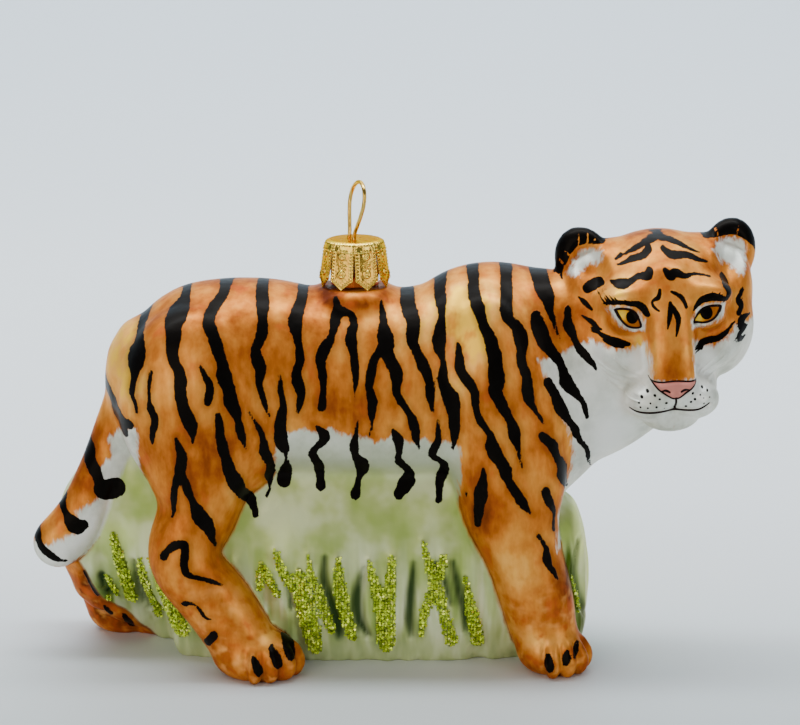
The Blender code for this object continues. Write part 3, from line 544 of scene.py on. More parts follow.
# White on the face: the cheeks, muzzle and chin, on both sides of the bridge of the nose.
CHEEK_LEFT = [
    (-30, 1.0), (-14.6, 0.7), (-12.0, -0.3), (-9.0, -0.9), (-7.0, -0.9), (-5.2, 0.0), (-4.4, 0.9),
    (-4.2, -2.0), (-3.9, -5.2), (0.8, -5.6), (0.8, -40), (-30, -40),
]
CHEEK_RIGHT = [
    (30, 1.6), (13.4, 1.7), (11.2, 0.2), (8.8, -0.9), (6.2, -1.2), (4.6, 0.2), (4.0, 1.2), (3.8, -2.0),
    (3.7, -5.2), (-0.8, -5.6), (-0.8, -40), (30, -40),
]
EAR_INNER_LEFT = [
    (-17.4, 11.2), (-16.2, 13.0), (-14.6, 14.4), (-12.8, 15.2), (-11.0, 15.4), (-11.2, 13.9), (-12.8, 12.8),
    (-14.6, 11.9), (-16.0, 11.0),
]
EAR_INNER_RIGHT = [
    (10.2, 14.7), (11.8, 15.7), (14.2, 15.7), (16.2, 14.9), (16.8, 13.2), (16.2, 10.4), (15.2, 9.7),
    (13.4, 11.2), (11.2, 12.8),
]
EAR_BANDS = [
    [(-19.2, 9.6, 0.9), (-19.8, 12, 1.9), (-19.2, 14.8, 2.6), (-17.4, 17.4, 2.7), (-14.8, 18.6, 2.6),
     (-12.6, 18.3, 2.1), (-10.6, 17.4, 1.1)],
    [(9.2, 17.0, 0.8), (11.0, 18.2, 2.0), (13.6, 19.0, 2.7), (16.0, 18.6, 2.6), (18.2, 16.6, 2.0),
     (19.4, 14.0, 1.0)],
]
EAR_TICKS = [
    [(-17.8, 12.4, 0.15), (-18.7, 13.4, 0.14)], [(-16.6, 14.0, 0.2), (-17.4, 14.9, 0.1)],
    [(-14.9, 15.8, 0.12), (-14.9, 18.3, 0.12)], [(-13.2, 16.1, 0.16), (-13.1, 18.0, 0.1)],
    [(-12.0, 15.9, 0.2), (-11.9, 17.4, 0.12)],
    [(11.6, 16.4, 0.12), (11.2, 17.8, 0.22), (10.9, 18.6, 0.3)], [(15.2, 16.4, 0.14), (15.9, 17.9, 0.1)],
]
WHISKERS = [
    [(-13.4, -3.2), (-11.4, -4.9), (-8.8, -6.3), (-5.4, -7.2)],
    [(-12.2, -5.1), (-9.4, -7.4), (-6.7, -8.4)],
    [(-11.6, -7.2), (-9.2, -8.9), (-6.7, -9.4)],
    [(-10.4, -2.4), (-8.2, -4.8), (-5.4, -6.4)],
    [(10.4, -0.9), (8.6, -3.2), (5.4, -6.3)],
    [(10.2, -3.2), (8.6, -4.8), (6.4, -6.4)],
    [(10.8, -5.4), (9.0, -6.8), (7.0, -7.6)],
]

# White on the near side of the body, seen square on: belly, chest and throat, and underside of the tail.
BELLY_WHITE = [
    (-23.6, 33), (-22.8, 39), (-22.4, 45), (-20.6, 47), (-17.6, 48.5), (-14, 47.6), (-12, 48.6), (-9, 47),
    (-6.5, 47), (-3.6, 45.6), (0, 47.2), (2.6, 45.4), (5, 46.4), (8, 45.4), (10, 46.2), (12.5, 44.5),
    (12.6, 38), (11.6, 29), (-25, 29),
]
CHEST_WHITE = [
    (27.0, 61.2), (30.0, 61.8), (33.0, 63.0), (35.6, 64.2), (38.5, 64.0), (44.0, 66.0), (60.0, 66.0),
    (60.0, 20.0), (31.0, 24.0), (31.2, 31.0), (33.6, 38.0), (34.0, 42.0), (33.2, 47.0), (31.0, 52.0),
    (28.6, 57.0),
]
TAIL_WHITE = [
    (-48.5, 48.5), (-51.6, 47.2), (-55.0, 43.4), (-54.4, 40.5), (-57.6, 36.6), (-57.2, 31.8), (-61.6, 29.4),
    (-60.5, 25.8), (-66.6, 22.6), (-69.5, 23.0), (-74.0, 21.0), (-72.0, 17.0), (-64.4, 17.2), (-60.0, 20.0),
    (-54.0, 26.0), (-48.5, 34.0),
]

# The claws of the near paws, seen from the side.
FORE_CLAWS = [
    [(29.5, 2.5, 0.8), (29.4, 3.4, 0.95), (29.3, 4.9, 0.5)],
    [(32.6, 3.4, 0.65), (32.7, 4.3, 0.75), (32.9, 5.5, 0.4)],
    [(34.5, 4.6, 0.55), (34.6, 5.4, 0.65), (34.8, 6.6, 0.35)],
]
HIND_CLAWS = [
    [(-25.5, 2.6, 0.7), (-25.9, 3.7, 0.85), (-26.7, 5.7, 0.45)],
    [(-21.8, 3.9, 0.7), (-22.3, 5.1, 0.9), (-23.4, 7.1, 0.5)],
    [(-19.5, 4.9, 0.6), (-20.0, 6.3, 0.9), (-21.1, 8.5, 0.6)],
]

# The far hind foot, where it shows past the end of the grass: orange.
FAR_FOOT = [
    (-66.5, 20.5), (-62.6, 19.5), (-59.6, 13.0), (-57.4, 9.6), (-53.0, 7.0), (-49.6, 3.0), (-47, -1),
    (-66.5, -1),
]
FAR_FOOT_MARKS = [
    [(-60.6, 15.2, 0.7), (-59.6, 13.2, 0.9), (-58.6, 10.6, 0.6)],
    [(-57.4, 7.6, 0.4), (-56.4, 6.0, 0.6)],
]

# Where the paint is laid lighter (+) or darker (-), in part by the airbrush and in part as painted
# highlights and painted shade: x, z, reach along x and z, and how much.
# Among them: painted highlights on the shoulder, the haunch's rim, the toes, the cheeks, the throat and
# streaks of the grass; painted shade along the top of the back, on the thigh, the paws, the far foot and
# beside the foreleg on the grass.
AIRBRUSH_AND_PAINTED_LIGHT = [
    (14.0, 67.5, 7.0, 6.5, 0.62),
    (11.0, 60.0, 9.0, 9.0, 0.12),
    (-51.0, 60.0, 5.5, 10.0, 0.5),
    (-42.0, 73.0, 9.0, 4.0, 0.10),
    (-27.0, 69.0, 12.0, 5.0, -0.10),
    (-14.0, 77.5, 42.0, 2.4, -0.4),
    (-30.0, 58.0, 6.0, 7.0, 0.10),
    (4.0, 73.0, 8.0, 5.0, 0.14),
    (-43.0, 40.0, 6.0, 8.0, -0.15),
    (-34.0, 47.0, 6.0, 6.0, -0.16),
    (-10.0, 52.0, 9.0, 4.5, -0.12),
    (-24.0, 49.0, 5.0, 5.0, -0.10),
    (16.0, 33.0, 4.0, 12.0, -0.14),
    (24.5, 24.0, 4.0, 9.0, 0.18),
    (29.0, 5.0, 8.0, 5.5, -0.08),
    (32.0, 13.0, 3.5, 6.0, -0.12),
    (-26.0, 3.0, 9.0, 4.0, -0.04),
    (-36.5, 12.0, 4.0, 7.0, 0.06),
    (-34.0, 30.0, 5.0, 8.0, 0.08),
    (-47.0, 20.0, 4.0, 9.0, -0.10),
    (-59.0, 40.0, 5.0, 9.0, -0.12),
    (-60.0, 10.0, 8.0, 8.0, -0.35),
    (30.0, 62.0, 4.0, 6.0, -0.10),
    (52.0, 77.0, 5.0, 4.0, 0.22),
    (41.0, 76.0, 4.0, 5.0, 0.26),
    (62.0, 78.0, 5.0, 5.0, -0.16),
    (51.0, 66.0, 3.5, 10.0, -0.10),
    (36.2, 27.0, 1.7, 6.0, 0.8),
    (33.6, 19.0, 0.9, 6.0, -0.6),
    (38.4, 15.0, 0.9, 8.0, 0.6),
    (36.4, 8.0, 1.4, 5.0, -0.5),
    (-52.0, 24.0, 4.0, 5.0, 0.25),
    (-49.5, 11.0, 4.0, 5.0, -0.25),
    (-21.0, 25.0, 4.0, 5.0, 0.2),
    (6.0, 30.0, 6.0, 4.0, 0.12),
    (-13.0, 72.4, 3.5, 1.2, -0.45),
    (-7.0, 70.6, 6.0, 0.9, -0.35),
    (-1.5, 72.0, 3.0, 1.2, -0.3),
    (41.0, 46.0, 5.5, 9.0, 0.45),
    (46.0, 61.5, 2.6, 4.5, 0.5),
    (58.0, 61.0, 2.8, 4.5, 0.45),
    (-61.0, 25.0, 5.0, 5.0, 0.3),
    (27.6, 7.2, 2.2, 2.0, 0.34),
    (31.2, 7.6, 1.6, 1.6, 0.32),
    (-24.2, 8.2, 2.4, 1.8, 0.34),
    (-28.4, 5.8, 1.8, 1.8, 0.3),
    (-20.8, 10.6, 1.8, 1.4, 0.2),
]

# Glitter on the near side of the grass: (x, z, half width).
BLADES = [
    [(-54.6, 24.5, 0.5), (-53.9, 20.5, 1.0), (-52.8, 15.5, 1.15), (-51.8, 10.4, 1.1)],
    [(-49.4, 19.8, 0.3), (-48.7, 15.5, 0.8), (-47.4, 11, 0.95), (-46, 6.6, 0.9)],
    [(-46.6, 20.5, 0.9), (-46.2, 18.8, 0.9)],
    [(-46, 17.2, 0.6), (-44.6, 14, 1.2), (-43, 10.5, 1.5), (-41.2, 6.3, 1.4)],
    [(-56.4, 14.6, 0.5), (-55.4, 12, 0.8), (-54.2, 9.4, 0.4)],
    [(-25.5, 21, 0.3), (-25.6, 19, 0.7), (-26, 15.6, 0.5)],
    [(-25.3, 20.4, 0.5), (-23.9, 17.6, 0.8), (-22.4, 14.6, 0.6)],
    [(-22.7, 23, 0.55), (-21.6, 19.8, 0.8), (-19.6, 16.4, 1.0)],
    [(-18.4, 19.8, 0.4), (-18, 17, 1.6), (-17, 12, 1.9), (-16, 7, 1.7), (-15.2, 3.4, 1.2)],
    [(-16.6, 22.6, 0.3), (-15.9, 18.8, 0.6), (-14.2, 13.6, 0.95), (-12.4, 8.2, 0.8), (-12, 7, 0.4)],
    [(-10.8, 22, 0.4), (-10.6, 17.4, 1.1), (-9.8, 12.4, 1.2), (-8.2, 6, 0.9)],
    [(-5, 21.6, 0.3), (-4.2, 18.4, 0.75), (-3.2, 14, 1.0), (-2.4, 11, 1.2)],
    [(-0.5, 22, 0.6), (-0.7, 17.5, 1.0), (-1.2, 12.6, 1.2), (-1.8, 9, 1.8), (-1.6, 4.2, 1.5)],
    [(5.4, 25.4, 0.3), (6.2, 22.2, 0.65), (7.7, 17.4, 1.1), (9.3, 11.6, 1.0), (11, 5, 1.2)],
    [(9.3, 22.2, 0.6), (8.6, 18.6, 0.9), (7, 14.4, 0.9), (5.6, 10.4, 0.8), (5.2, 6.4, 0.5)],
    [(13.6, 18.4, 0.3), (14.2, 14.4, 0.75), (15.2, 9.4, 1.2), (16, 4.8, 1.15)],
    [(33.6, 17.6, 0.25), (34.8, 13.6, 0.4), (35.6, 10.2, 0.3)],
]
# Grooves in the grass, pressed into the glass and given painted shade: (x, z, half width).
GROOVES = [
    [(-57.6, 14.8, 0.5), (-56.2, 11.4, 0.7)],
    [(-50.8, 19, 0.3), (-50, 13, 0.6), (-49, 8, 0.4)],
    [(-45, 21, 0.3), (-43.5, 15, 0.4)],
    [(-40.9, 15.5, 0.6), (-39, 11.6, 0.9), (-38.0, 8.0, 0.6)],
    [(-13.4, 22, 0.4), (-13.4, 16.5, 0.7), (-11.2, 9.5, 0.7), (-10.6, 6.0, 0.3)],
    [(-5.8, 20, 0.4), (-7, 14.5, 1.0), (-6.8, 9.4, 1.1), (-5.2, 6.2, 0.6)],
    [(3.8, 21, 0.3), (3.2, 15.5, 1.1), (2.8, 10, 1.0), (3.2, 6, 0.4)],
    [(7.6, 20.4, 0.9), (9.6, 17.0, 0.7), (10.6, 13.0, 0.5)],
    [(11.2, 21, 0.3), (12.2, 16, 0.7), (13.4, 11, 0.6), (13.6, 7.0, 0.3)],
    [(-20.8, 17.6, 0.3), (-19.8, 12, 0.5)],
    [(35.6, 24.0, 0.25), (34.6, 18.0, 0.4), (36.0, 12.0, 0.35), (37.4, 8.0, 0.3)],
]


WAVER, SWELL = (0.24, 2.8), (0.26, 0.75)  # of a brush: turns a millimetre, and how much


def hand_drawn(stroke, sway, steps=5):
    """The path of a brush mark, as unsteady as sway says: it wavers aside, and swells and thins."""
    path = np.array(smooth_stations(stroke, steps), float)
    if sway:
        run = np.concatenate(([0.0], np.cumsum(np.linalg.norm(np.diff(path[:, :2], axis=0), axis=1))))
        own = stroke[0][0] * 7.3 + stroke[-1][1] * 3.1
        aside = np.array([noise.noise(Vector((r * WAVER[0], own, 0.0))) for r in run])
        swell = np.array([noise.noise(Vector((r * SWELL[0], own, 9.0))) for r in run])
        path[:, 0] += WAVER[1] * sway * aside * np.clip(run / 4, 0, 1)
        path[:, 2] *= 1 + SWELL[1] * swell
    return path


def stroke_field(points, stroke, sway=0.0):
    """Distance of each (x, z) point outside a brush mark, in millimetres: negative within it."""
    path = hand_drawn(stroke, sway)
    field = np.full(len(points), PAINT_REACH)
    margin = PAINT_REACH + 2
    low, high = path[:, :2].min(0) - margin, path[:, :2].max(0) + margin
    near = np.flatnonzero(np.all((points > low) & (points < high), axis=1))
    at = points[near]
    best = np.full(len(near), PAINT_REACH)
    for a, b in zip(path, path[1:]):
        run = b[:2] - a[:2]
        t = np.clip(((at - a[:2]) @ run) / max(run @ run, 1e-9), 0, 1)
        away = np.linalg.norm(at - a[:2] - t[:, None] * run, axis=1) - (a[2] + t * (b[2] - a[2]))
        best = np.minimum(best, away)
    field[near] = best
    return field


def strokes_field(points, strokes, sway=0.0):
    field = np.full(len(points), PAINT_REACH)
    for stroke in strokes:
        field = np.minimum(field, stroke_field(points, stroke, sway))
    return field


def haired(marks, seed, length=2.2):
    """Brush marks with hairs lying across them, each given with the way that its hairs lie."""
    rng = random.Random(seed)
    made = []
    for stroke, lie in marks:
        made.append(stroke)
        for x, z, half in smooth_stations(stroke, 3):
            if rng.random() < 0.2:
                continue
            way = math.radians(lie + rng.uniform(-14, 14))
            reach = Vector((math.cos(way), math.sin(way))) * length * rng.uniform(0.55, 1.0)
            start = Vector((x, z)) - reach * rng.uniform(0.1, 0.4)
            width = rng.uniform(0.17, 0.28)
            made.append([(*start, width * 0.7), (*(start + reach * 0.45), width), (*(start + reach), 0.02)])
    return made


def outline_field(points, outline, smooth=4):
    """Distance of each (x, z) point inside a closed outline: positive within it."""
    ring = np.array(outline, float)
    if smooth:
        doubled = [*outline[-2:], *outline, *outline[:2]]
        ring = np.array(smooth_stations(doubled, smooth), float)[2 * smooth : -2 * smooth]
    away = np.full(len(points), 1e9)
    inside = np.zeros(len(points), bool)
    for a, b in zip(ring, np.roll(ring, -1, axis=0)):
        run = b - a
        t = np.clip(((points - a) @ run) / max(run @ run, 1e-9), 0, 1)
        away = np.minimum(away, np.linalg.norm(points - a - t[:, None] * run, axis=1))
        crosses = (a[1] > points[:, 1]) != (b[1] > points[:, 1])
        rise = b[1] - a[1] if abs(b[1] - a[1]) > 1e-9 else 1e-9
        inside ^= crosses & (points[:, 0] < a[0] + (points[:, 1] - a[1]) * run[0] / rise)
    return np.where(inside, away, -away)


def step(value, low, high):
    """0 below low, 1 above high, and smooth between."""
    t = np.clip((value - low) / (high - low), 0, 1)
    return t * t * (3 - 2 * t)


def bell(away, width):
    """1 at a line, falling away smoothly on both sides."""
    return np.exp(-((away / width) ** 2))


def vertex_values(mesh, key):
    found = np.empty(len(mesh.vertices) * 3)
    mesh.vertices.foreach_get(key, found)
    return found.reshape(-1, 3)


def nearest_distances(tree, points):
    return np.array([tree.find_nearest(p)[3] for p in points])


def in_head(points):
    turn = np.array(head_frame().inverted())
    return points @ turn[:3, :3].T + turn[:3, 3]


def far_strokes(strokes, seed):
    """The far side's marks: the near side's, drifting from them the further they are below the back."""
    rng = random.Random(seed)
    made = []
    for stroke in strokes:
        drift, wave = rng.uniform(-1.6, 1.6), rng.uniform(0.4, 1.0)
        phase = rng.uniform(0, 6)
        moved = []
        for x, z, half in stroke:
            below = min(max((74 - z) / 14, 0.0), 1.0)
            aside = below * (drift + wave * math.sin(z / 4 + phase))
            moved.append((x + aside, z, half * rng.uniform(0.85, 1.15)))
        made.append(moved)
    return made


def both_sides(side_on, near, strokes, seed):
    """Distances from marks as drawn on the near side, and drifting from them on the far side."""
    field = np.full(len(side_on), PAINT_REACH)
    for here, marks in ((near, strokes), (~near, far_strokes(strokes, seed))):
        field[here] = strokes_field(side_on[here], marks)
    return field


# ---- the skin ----


def refine(bm, wanted):
    """Splits the faces whose middle, in the head's own frame, is wanted, and softens what was split."""
    to_head = head_frame().inverted()
    faces = [f for f in bm.faces if wanted(to_head @ f.calc_center_median())]
    edges = list({e for f in faces for e in f.edges})
    made = bmesh.ops.subdivide_edges(bm, edges=edges, cuts=1, use_grid_fill=True)
    new = [v for v in made["geom_inner"] if isinstance(v, bmesh.types.BMVert)]
    bmesh.ops.smooth_vert(bm, verts=new, factor=0.5, use_axis_x=True, use_axis_y=True, use_axis_z=True)


def skin_mesh():
    """The blown figure before its detail is pressed in, with finer faces on the face."""
    clay = blended(14, trunk_and_neck, tail, grass, head, legs)
    mesh = blended(6, lambda bm: bm.from_mesh(clay), face, toes)
    bpy.data.meshes.remove(clay)
    bm = bmesh.new()
    bm.from_mesh(mesh)
    refine(bm, lambda p: p.y < -1.0 and abs(p.x) < 17.5 and -18 < p.z < 20)
    refine(bm, lambda p: p.y < -8.0 and abs(p.x) < 12.5 and -12.5 < p.z < 9.6)
    bm.to_mesh(mesh)
    bm.free()
    return mesh


def press_hollows(points):
    """The points, with a soft hollow pressed into the front of each ear."""
    local = in_head(points)
    half_width, half_height, depth = EAR_HOLLOW
    shift = np.zeros(len(points))
    for side in (-1, 1):
        x, y, z = EAR_AT
        away = local - np.array((side * (x - 0.4), y - 2.6, z + 0.6))
        lean = math.radians(side * EAR_LEAN)
        across = away[:, 0] * math.cos(lean) - away[:, 2] * math.sin(lean)
        up = away[:, 0] * math.sin(lean) + away[:, 2] * math.cos(lean)
        out = np.hypot(across / half_width, up / half_height)
        front = step(-away[:, 1], -2.4, 0.4)
        shift += depth * front * (1 - step(out, 0.25, 1.05))
    inwards = head_frame().to_3x3() @ Vector((0, 1, 0))
    return points + shift[:, None] * np.array(inwards)


def face_relief(points):
    """The mould's detail on the face, as a height in millimetres."""
    local = in_head(points)
    flat = local[:, [0, 2]]
    front = step(-local[:, 1], 2.0, 7.0)
    nose = outline_field(flat, NOSE_OUTLINE)
    height = NOSE_HEIGHT * step(nose, -0.1, 0.8) - 0.22 * bell(nose, 0.3)
    height -= MOUTH_DEPTH * bell(strokes_field(flat, [MOUTH]), 0.38)
    height -= 0.3 * bell(strokes_field(flat, [[(0, -8.6, 0.05), (0, -11.4, 0.05)]]), 0.4)
    for x in (-1.8, 1.7):
        height -= NOSTRIL_DEPTH * bell(np.hypot(flat[:, 0] - x, (flat[:, 1] + 7.25) / 0.5), 1.0)
    for outline in (EYE_LEFT_OUTLINE, EYE_RIGHT_OUTLINE):
        eye = outline_field(flat, outline)
        height += LID_HEIGHT * bell(eye + 0.55, 0.35) - 0.16 * bell(eye, 0.3)
    for side in (-1, 1):
        bridge_edge = [(side * 5.6, 3.0, 0.0), (side * 5.2, -1.0, 0.0), (side * 5.0, -4.6, 0.0)]
        height -= 0.3 * bell(strokes_field(flat, [bridge_edge]), 0.7)
    whiskers = strokes_field(flat, [[(x, z, 0.02) for x, z in w] for w in WHISKERS])
    return front * (height + WHISKER_HEIGHT * bell(whiskers, 0.15))


def grass_relief(points, grassy):
    """Blades of grass in the mould: ridges under the glitter, grooves beside them, and fine fluting."""
    side_on, near = points[:, [0, 2]], points[:, 1] < 0
    blade = both_sides(side_on, near, BLADES, SEEDS["far blades"])
    groove = both_sides(side_on, near, GROOVES, SEEDS["far grooves"])
    height = BLADE_HEIGHT * (1 - step(blade, -1.2, 1.0)) - GROOVE_DEPTH * (1 - step(groove, -0.8, 0.6))
    here = grassy > 0
    flute = [noise.noise(Vector((x * 0.42, y * 0.2, z * 0.06))) for x, y, z in points[here]]
    height[here] += FLUTE_HEIGHT * np.array(flute) * (1 - step(points[here, 2], 18, 30))
    return height * np.clip(grassy, 0, 1)


def toe_relief(points):
    """The toes, as rounded lobes with creases between them."""
    height = np.zeros(len(points))
    for side, x, y, reach_x, reach_y in paws():
        near_paw = np.hypot(points[:, 0] - x, points[:, 1] - side * y) < reach_x + 6
        here = np.flatnonzero(near_paw & (points[:, 2] < 9) & (points[:, 1] * side > 0))
        at = points[here] - (x, side * y, 0.0)
        angle = np.degrees(np.arctan2(at[:, 1] * side, at[:, 0]))
        out = np.hypot(at[:, 0] / (reach_x + 2.5), at[:, 1] / (reach_y + 2.5))
        outer = step(out, 0.45, 0.8) * (1 - step(at[:, 2], 5.6, 7.6))
        for toe in (4, 34, 62, 90):
            height[here] += TOE_HEIGHT * outer * bell(angle - toe, 9.5)
        for gap in (-12, 19, 48, 76, 106):
            height[here] -= TOE_CREASE * outer * bell(angle - gap, 4.5)
    return height


def moulded(mesh):
    """The skin's points in millimetres with the mould's detail, their normals, and how grassy each is."""
    points, normals = vertex_values(mesh, "co"), vertex_values(mesh, "normal")
    points = press_hollows(points)
    on_animal = nearest_distances(tree_of(trunk_and_neck, tail, head, legs, face, toes), points)
    grassy = on_animal - nearest_distances(tree_of(grass), points)
    height = face_relief(points) + grass_relief(points, grassy) + toe_relief(points)
    height -= SEAM_DEPTH * bell(grassy + 0.2, 0.75) * (1 - step(points[:, 2], 32, 38))
    points = points + normals * height[:, None]

    # The flat seat for the neck tube. The solids' box gives the flats that the ornament stands on.
    on_seat = np.hypot(points[:, 0] - CAP_X, points[:, 1]) < SEAT_R
    points[on_seat, 2] = np.minimum(points[on_seat, 2], SEAT_Z)
    low, high = (np.array(c) / MM - np.array(CENTRING) for c in cad_box)
    return np.clip(points, low + WITHIN_BOX, high - WITHIN_BOX), normals, grassy


# ---- the paint, as fields: distances in millimetres from each painted edge ----


class Surface:
    """The skin's points, in the ways that the paint looks at them."""

    def __init__(self, points, normals):
        self.points, self.normals = points, normals
        self.side_on = points[:, [0, 2]]
        self.near = points[:, 1] < 0
        self.local = in_head(points)
        self.flat = self.local[:, [0, 2]]

        # How much nearer each point is to the head's own shape than to the neck's.
        self.headness = self.level(-PAINT_REACH)
        about = np.flatnonzero((points[:, 0] > 26) & (points[:, 2] > 40))
        to_neck = nearest_distances(tree_of(trunk_and_neck), points[about])
        to_head = nearest_distances(tree_of(head, face), points[about])
        self.headness[about] = np.clip(to_neck - to_head, -PAINT_REACH, PAINT_REACH)
        self.on_head = (self.headness > -0.6) & (self.local[:, 1] < 14)

        # Where the tail's paint may fall: all of the near side, and the tail alone on the far side.
        self.tail_side = self.near.copy()
        rear = np.flatnonzero(~self.near & (points[:, 0] < -44))
        self.tail_side[rear] = nearest_distances(tree_of(tail), points[rear]) < 0.9

    def level(self, value):
        return np.full(len(self.points), float(value))


def lay(field, where, found):
    """Adds marks to a field of distances, at some of its points."""
    field[where] = np.minimum(field[where], found)


def stripes(on):
    """Black stripes on the body and tail, and the claws."""
    stripe = on.level(PAINT_REACH)
    near, far = on.near, ~on.near
    far_tail = far & on.tail_side
    for here, marks in (
        (near, FLANK + TAIL_BANDS),
        (far, far_strokes(FLANK, SEEDS["far flank"])),
        (far_tail, far_strokes(TAIL_BANDS, SEEDS["far tail"])),
    ):
        lay(stripe, here, strokes_field(on.side_on[here], marks, sway=STRIPE_SWAY))
    stripe[on.headness > 0.0] = PAINT_REACH
    not_far_foot = PAINT_REACH * (on.points[:, 1] > 8)
    stripe = np.minimum(stripe, strokes_field(on.side_on, FAR_FOOT_MARKS) + not_far_foot)

    drawn = [(side, foot_x - 30.0, FORE_CLAWS) for side, foot_x in FORELEGS.values()]
    drawn += [(side, foot_x + 26.5, HIND_CLAWS) for side, _, foot_x, _ in HINDLEGS.values()]
    for side, shift, claws in drawn:
        here = near if side < 0 else far
        moved = [[(x + shift, z, half) for x, z, half in claw] for claw in claws]
        lay(stripe, here, strokes_field(on.side_on[here], moved))
    return stripe


def airbrush_and_painted_light(on):
    """How much lighter or darker the paint is laid: the airbrush's tone, with painted highlights and painted
    shade.
    """
    tone = on.level(0.0)
    for x, z, reach_x, reach_z, amount in AIRBRUSH_AND_PAINTED_LIGHT:
        away = np.hypot((on.side_on[:, 0] - x) / reach_x, (on.side_on[:, 1] - z) / reach_z)
        tone += amount * bell(away, 1.0)
    return tone


def ear_backs(on):
    """The backs of the ears: where they are, their black, and their white spots."""
    here = on.on_head & (on.local[:, 1] >= 1.5) & (on.local[:, 2] > 10.5)
    aside, back, up = np.abs(on.local[here, 0]), on.local[here, 1], on.local[here, 2]
    spot = np.hypot(aside - 14.2, up - 14.0) - 2.2
    rim = np.maximum(12.2 - up, 9.0 - aside)
    behind = step(back, 1.6, 2.4)
    return here, np.maximum(rim, -spot) + (1 - behind) * 3, np.where(behind > 0.5, -spot, UNPAINTED)


def head_marks(on):
    """Black marks on the face, ears and nape."""
    marks = on.level(PAINT_REACH)
    front = on.on_head & (on.local[:, 1] < 3.5)
    at = on.flat[front]
    inked = strokes_field(at, FACE_STROKES + haired(BROWS, SEEDS["brows"]))
    inked = np.minimum(inked, np.maximum(strokes_field(at, EAR_BANDS), 0.05 - strokes_field(at, EAR_TICKS)))
    for x, z, half in FACE_SPOTS:
        inked = np.minimum(inked, np.hypot(at[:, 0] - x, at[:, 1] - z) - half)
    marks[front] = inked
    ears, black, _ = ear_backs(on)
    lay(marks, ears, black)
    nape = on.on_head & (on.local[:, 1] > 6.0) & (on.local[:, 2] > 8.0)
    bars = [[(-9, y, 0.3), (-3, y + 1.2, 0.8), (4, y + 0.6, 0.7), (9, y - 0.4, 0.2)] for y in (8.0, 11.5)]
    lay(marks, nape, strokes_field(on.local[nape][:, [0, 1]], bars))
    return marks


def face_lines(on):
    """Thin dark lines round the eyes, nose and mouth, what they bound, and painted light across each iris.
    """
    front = on.on_head & (on.local[:, 1] < -6.0)
    at = on.flat[front]
    nose = outline_field(at, NOSE_OUTLINE)
    line = np.minimum(np.abs(nose) - 0.17, strokes_field(at, MOUTH_LINES))
    iris, pupil, painted_iris_light = (np.full(len(at), -PAINT_REACH) for _ in range(3))
    for outline, (x, z), (light_x, light_z, reach) in (
        (EYE_LEFT_OUTLINE, (-6.95, 5.65), (-8.9, 6.2, 2.2)),
        (EYE_RIGHT_OUTLINE, (6.9, 5.6), (5.3, 4.7, 1.8)),
    ):
        eye = outline_field(at, outline)
        rim = np.where(at[:, 1] > 5.4, 0.3, 0.22)
        line = np.minimum(line, np.abs(eye) - rim)
        iris = np.maximum(iris, eye)
        pupil = np.maximum(pupil, 1.15 - np.hypot(at[:, 0] - x, (at[:, 1] - z) / 1.05))
        # Painted light: each iris is lighter towards one side.
        light = 1 - np.hypot(at[:, 0] - light_x, (at[:, 1] - light_z) / 0.9) / reach
        painted_iris_light = np.maximum(painted_iris_light, light)
    fields = {}
    for name, values, elsewhere in (
        ("lines", line, PAINT_REACH),
        ("iris", iris, -PAINT_REACH),
        ("pupil", pupil, -PAINT_REACH),
        ("pink", nose, -PAINT_REACH),
        ("painted_iris_light", painted_iris_light, 0.0),
    ):
        fields[name] = on.level(elsewhere)
        fields[name][front] = values
    return fields


def white_lacquered(on):
    """White lacquer: positive within it."""
    white = on.level(UNPAINTED)
    for outline in (BELLY_WHITE, CHEST_WHITE):
        white = np.maximum(white, outline_field(on.side_on, outline, 0))
    tail_white = outline_field(on.side_on, TAIL_WHITE, 0)
    white = np.where(on.tail_side, np.maximum(white, tail_white), white)
    x, z = on.side_on.T
    under = (z > 26) & (z < 40) & (x > -22) & (x < 34) & (on.normals[:, 2] < -0.55)
    white = np.where(under, np.maximum(white, 1.0), white)

    aside, back, up = on.local.T
    ruff = 6.8 - back - 0.8 * (up + 1.0)  # the far cheek's white ends on a slope
    on_face = np.minimum(outline_field(on.flat, CHEEK_RIGHT, 0), ruff)
    on_face = np.maximum(on_face, outline_field(on.flat, CHEEK_LEFT, 0))
    for outlines, limit in ((EYE_WHITES, 0.0), ((EAR_INNER_LEFT, EAR_INNER_RIGHT), 2.5)):
        for outline in outlines:
            found = np.where(back < limit, outline_field(on.flat, outline), UNPAINTED)
            on_face = np.maximum(on_face, found)
    ears, _, spots = ear_backs(on)
    on_face[ears] = np.maximum(on_face[ears], spots)
    on_face = np.where((back < 8.0) | (aside > 0.0), on_face, UNPAINTED)
    return np.where(on.headness > -0.3, on_face, white)


def build_skin():
    mesh = skin_mesh()
    points, normals, grassy = moulded(mesh)
    on = Surface(points, normals)
    foot = outline_field(on.side_on, FAR_FOOT, 0)
    grassy = np.where(foot > -2, np.minimum(grassy, -foot * 1.5), grassy)
    bed = both_sides(on.side_on, on.near, BLADES, SEEDS["far blades"])
    x, z = on.side_on.T
    fields = {
        "stripe": stripes(on),
        "marks": head_marks(on),
        "white": white_lacquered(on),
        "grass": grassy,
        "groove": both_sides(on.side_on, on.near, GROOVES, SEEDS["far grooves"]),
        "bed": bed,
        "tone": airbrush_and_painted_light(on),
        "belly": (x > -26) & (x < 20) & (z > 26),
        **face_lines(on),
    }
    for name, values in fields.items():
        layer = mesh.attributes.new(name, "FLOAT", "POINT")
        layer.data.foreach_set("value", np.asarray(values, np.float32))
    placed = (points + np.array(CENTRING)) * MM
    mesh.vertices.foreach_set("co", placed.astype(np.float32).ravel())
    smoothed(mesh)
    mesh.update()
    mesh.name = "glass_tiger"
    return linked("glass_tiger", mesh), points, normals, grassy, bed


# ---- materials ----


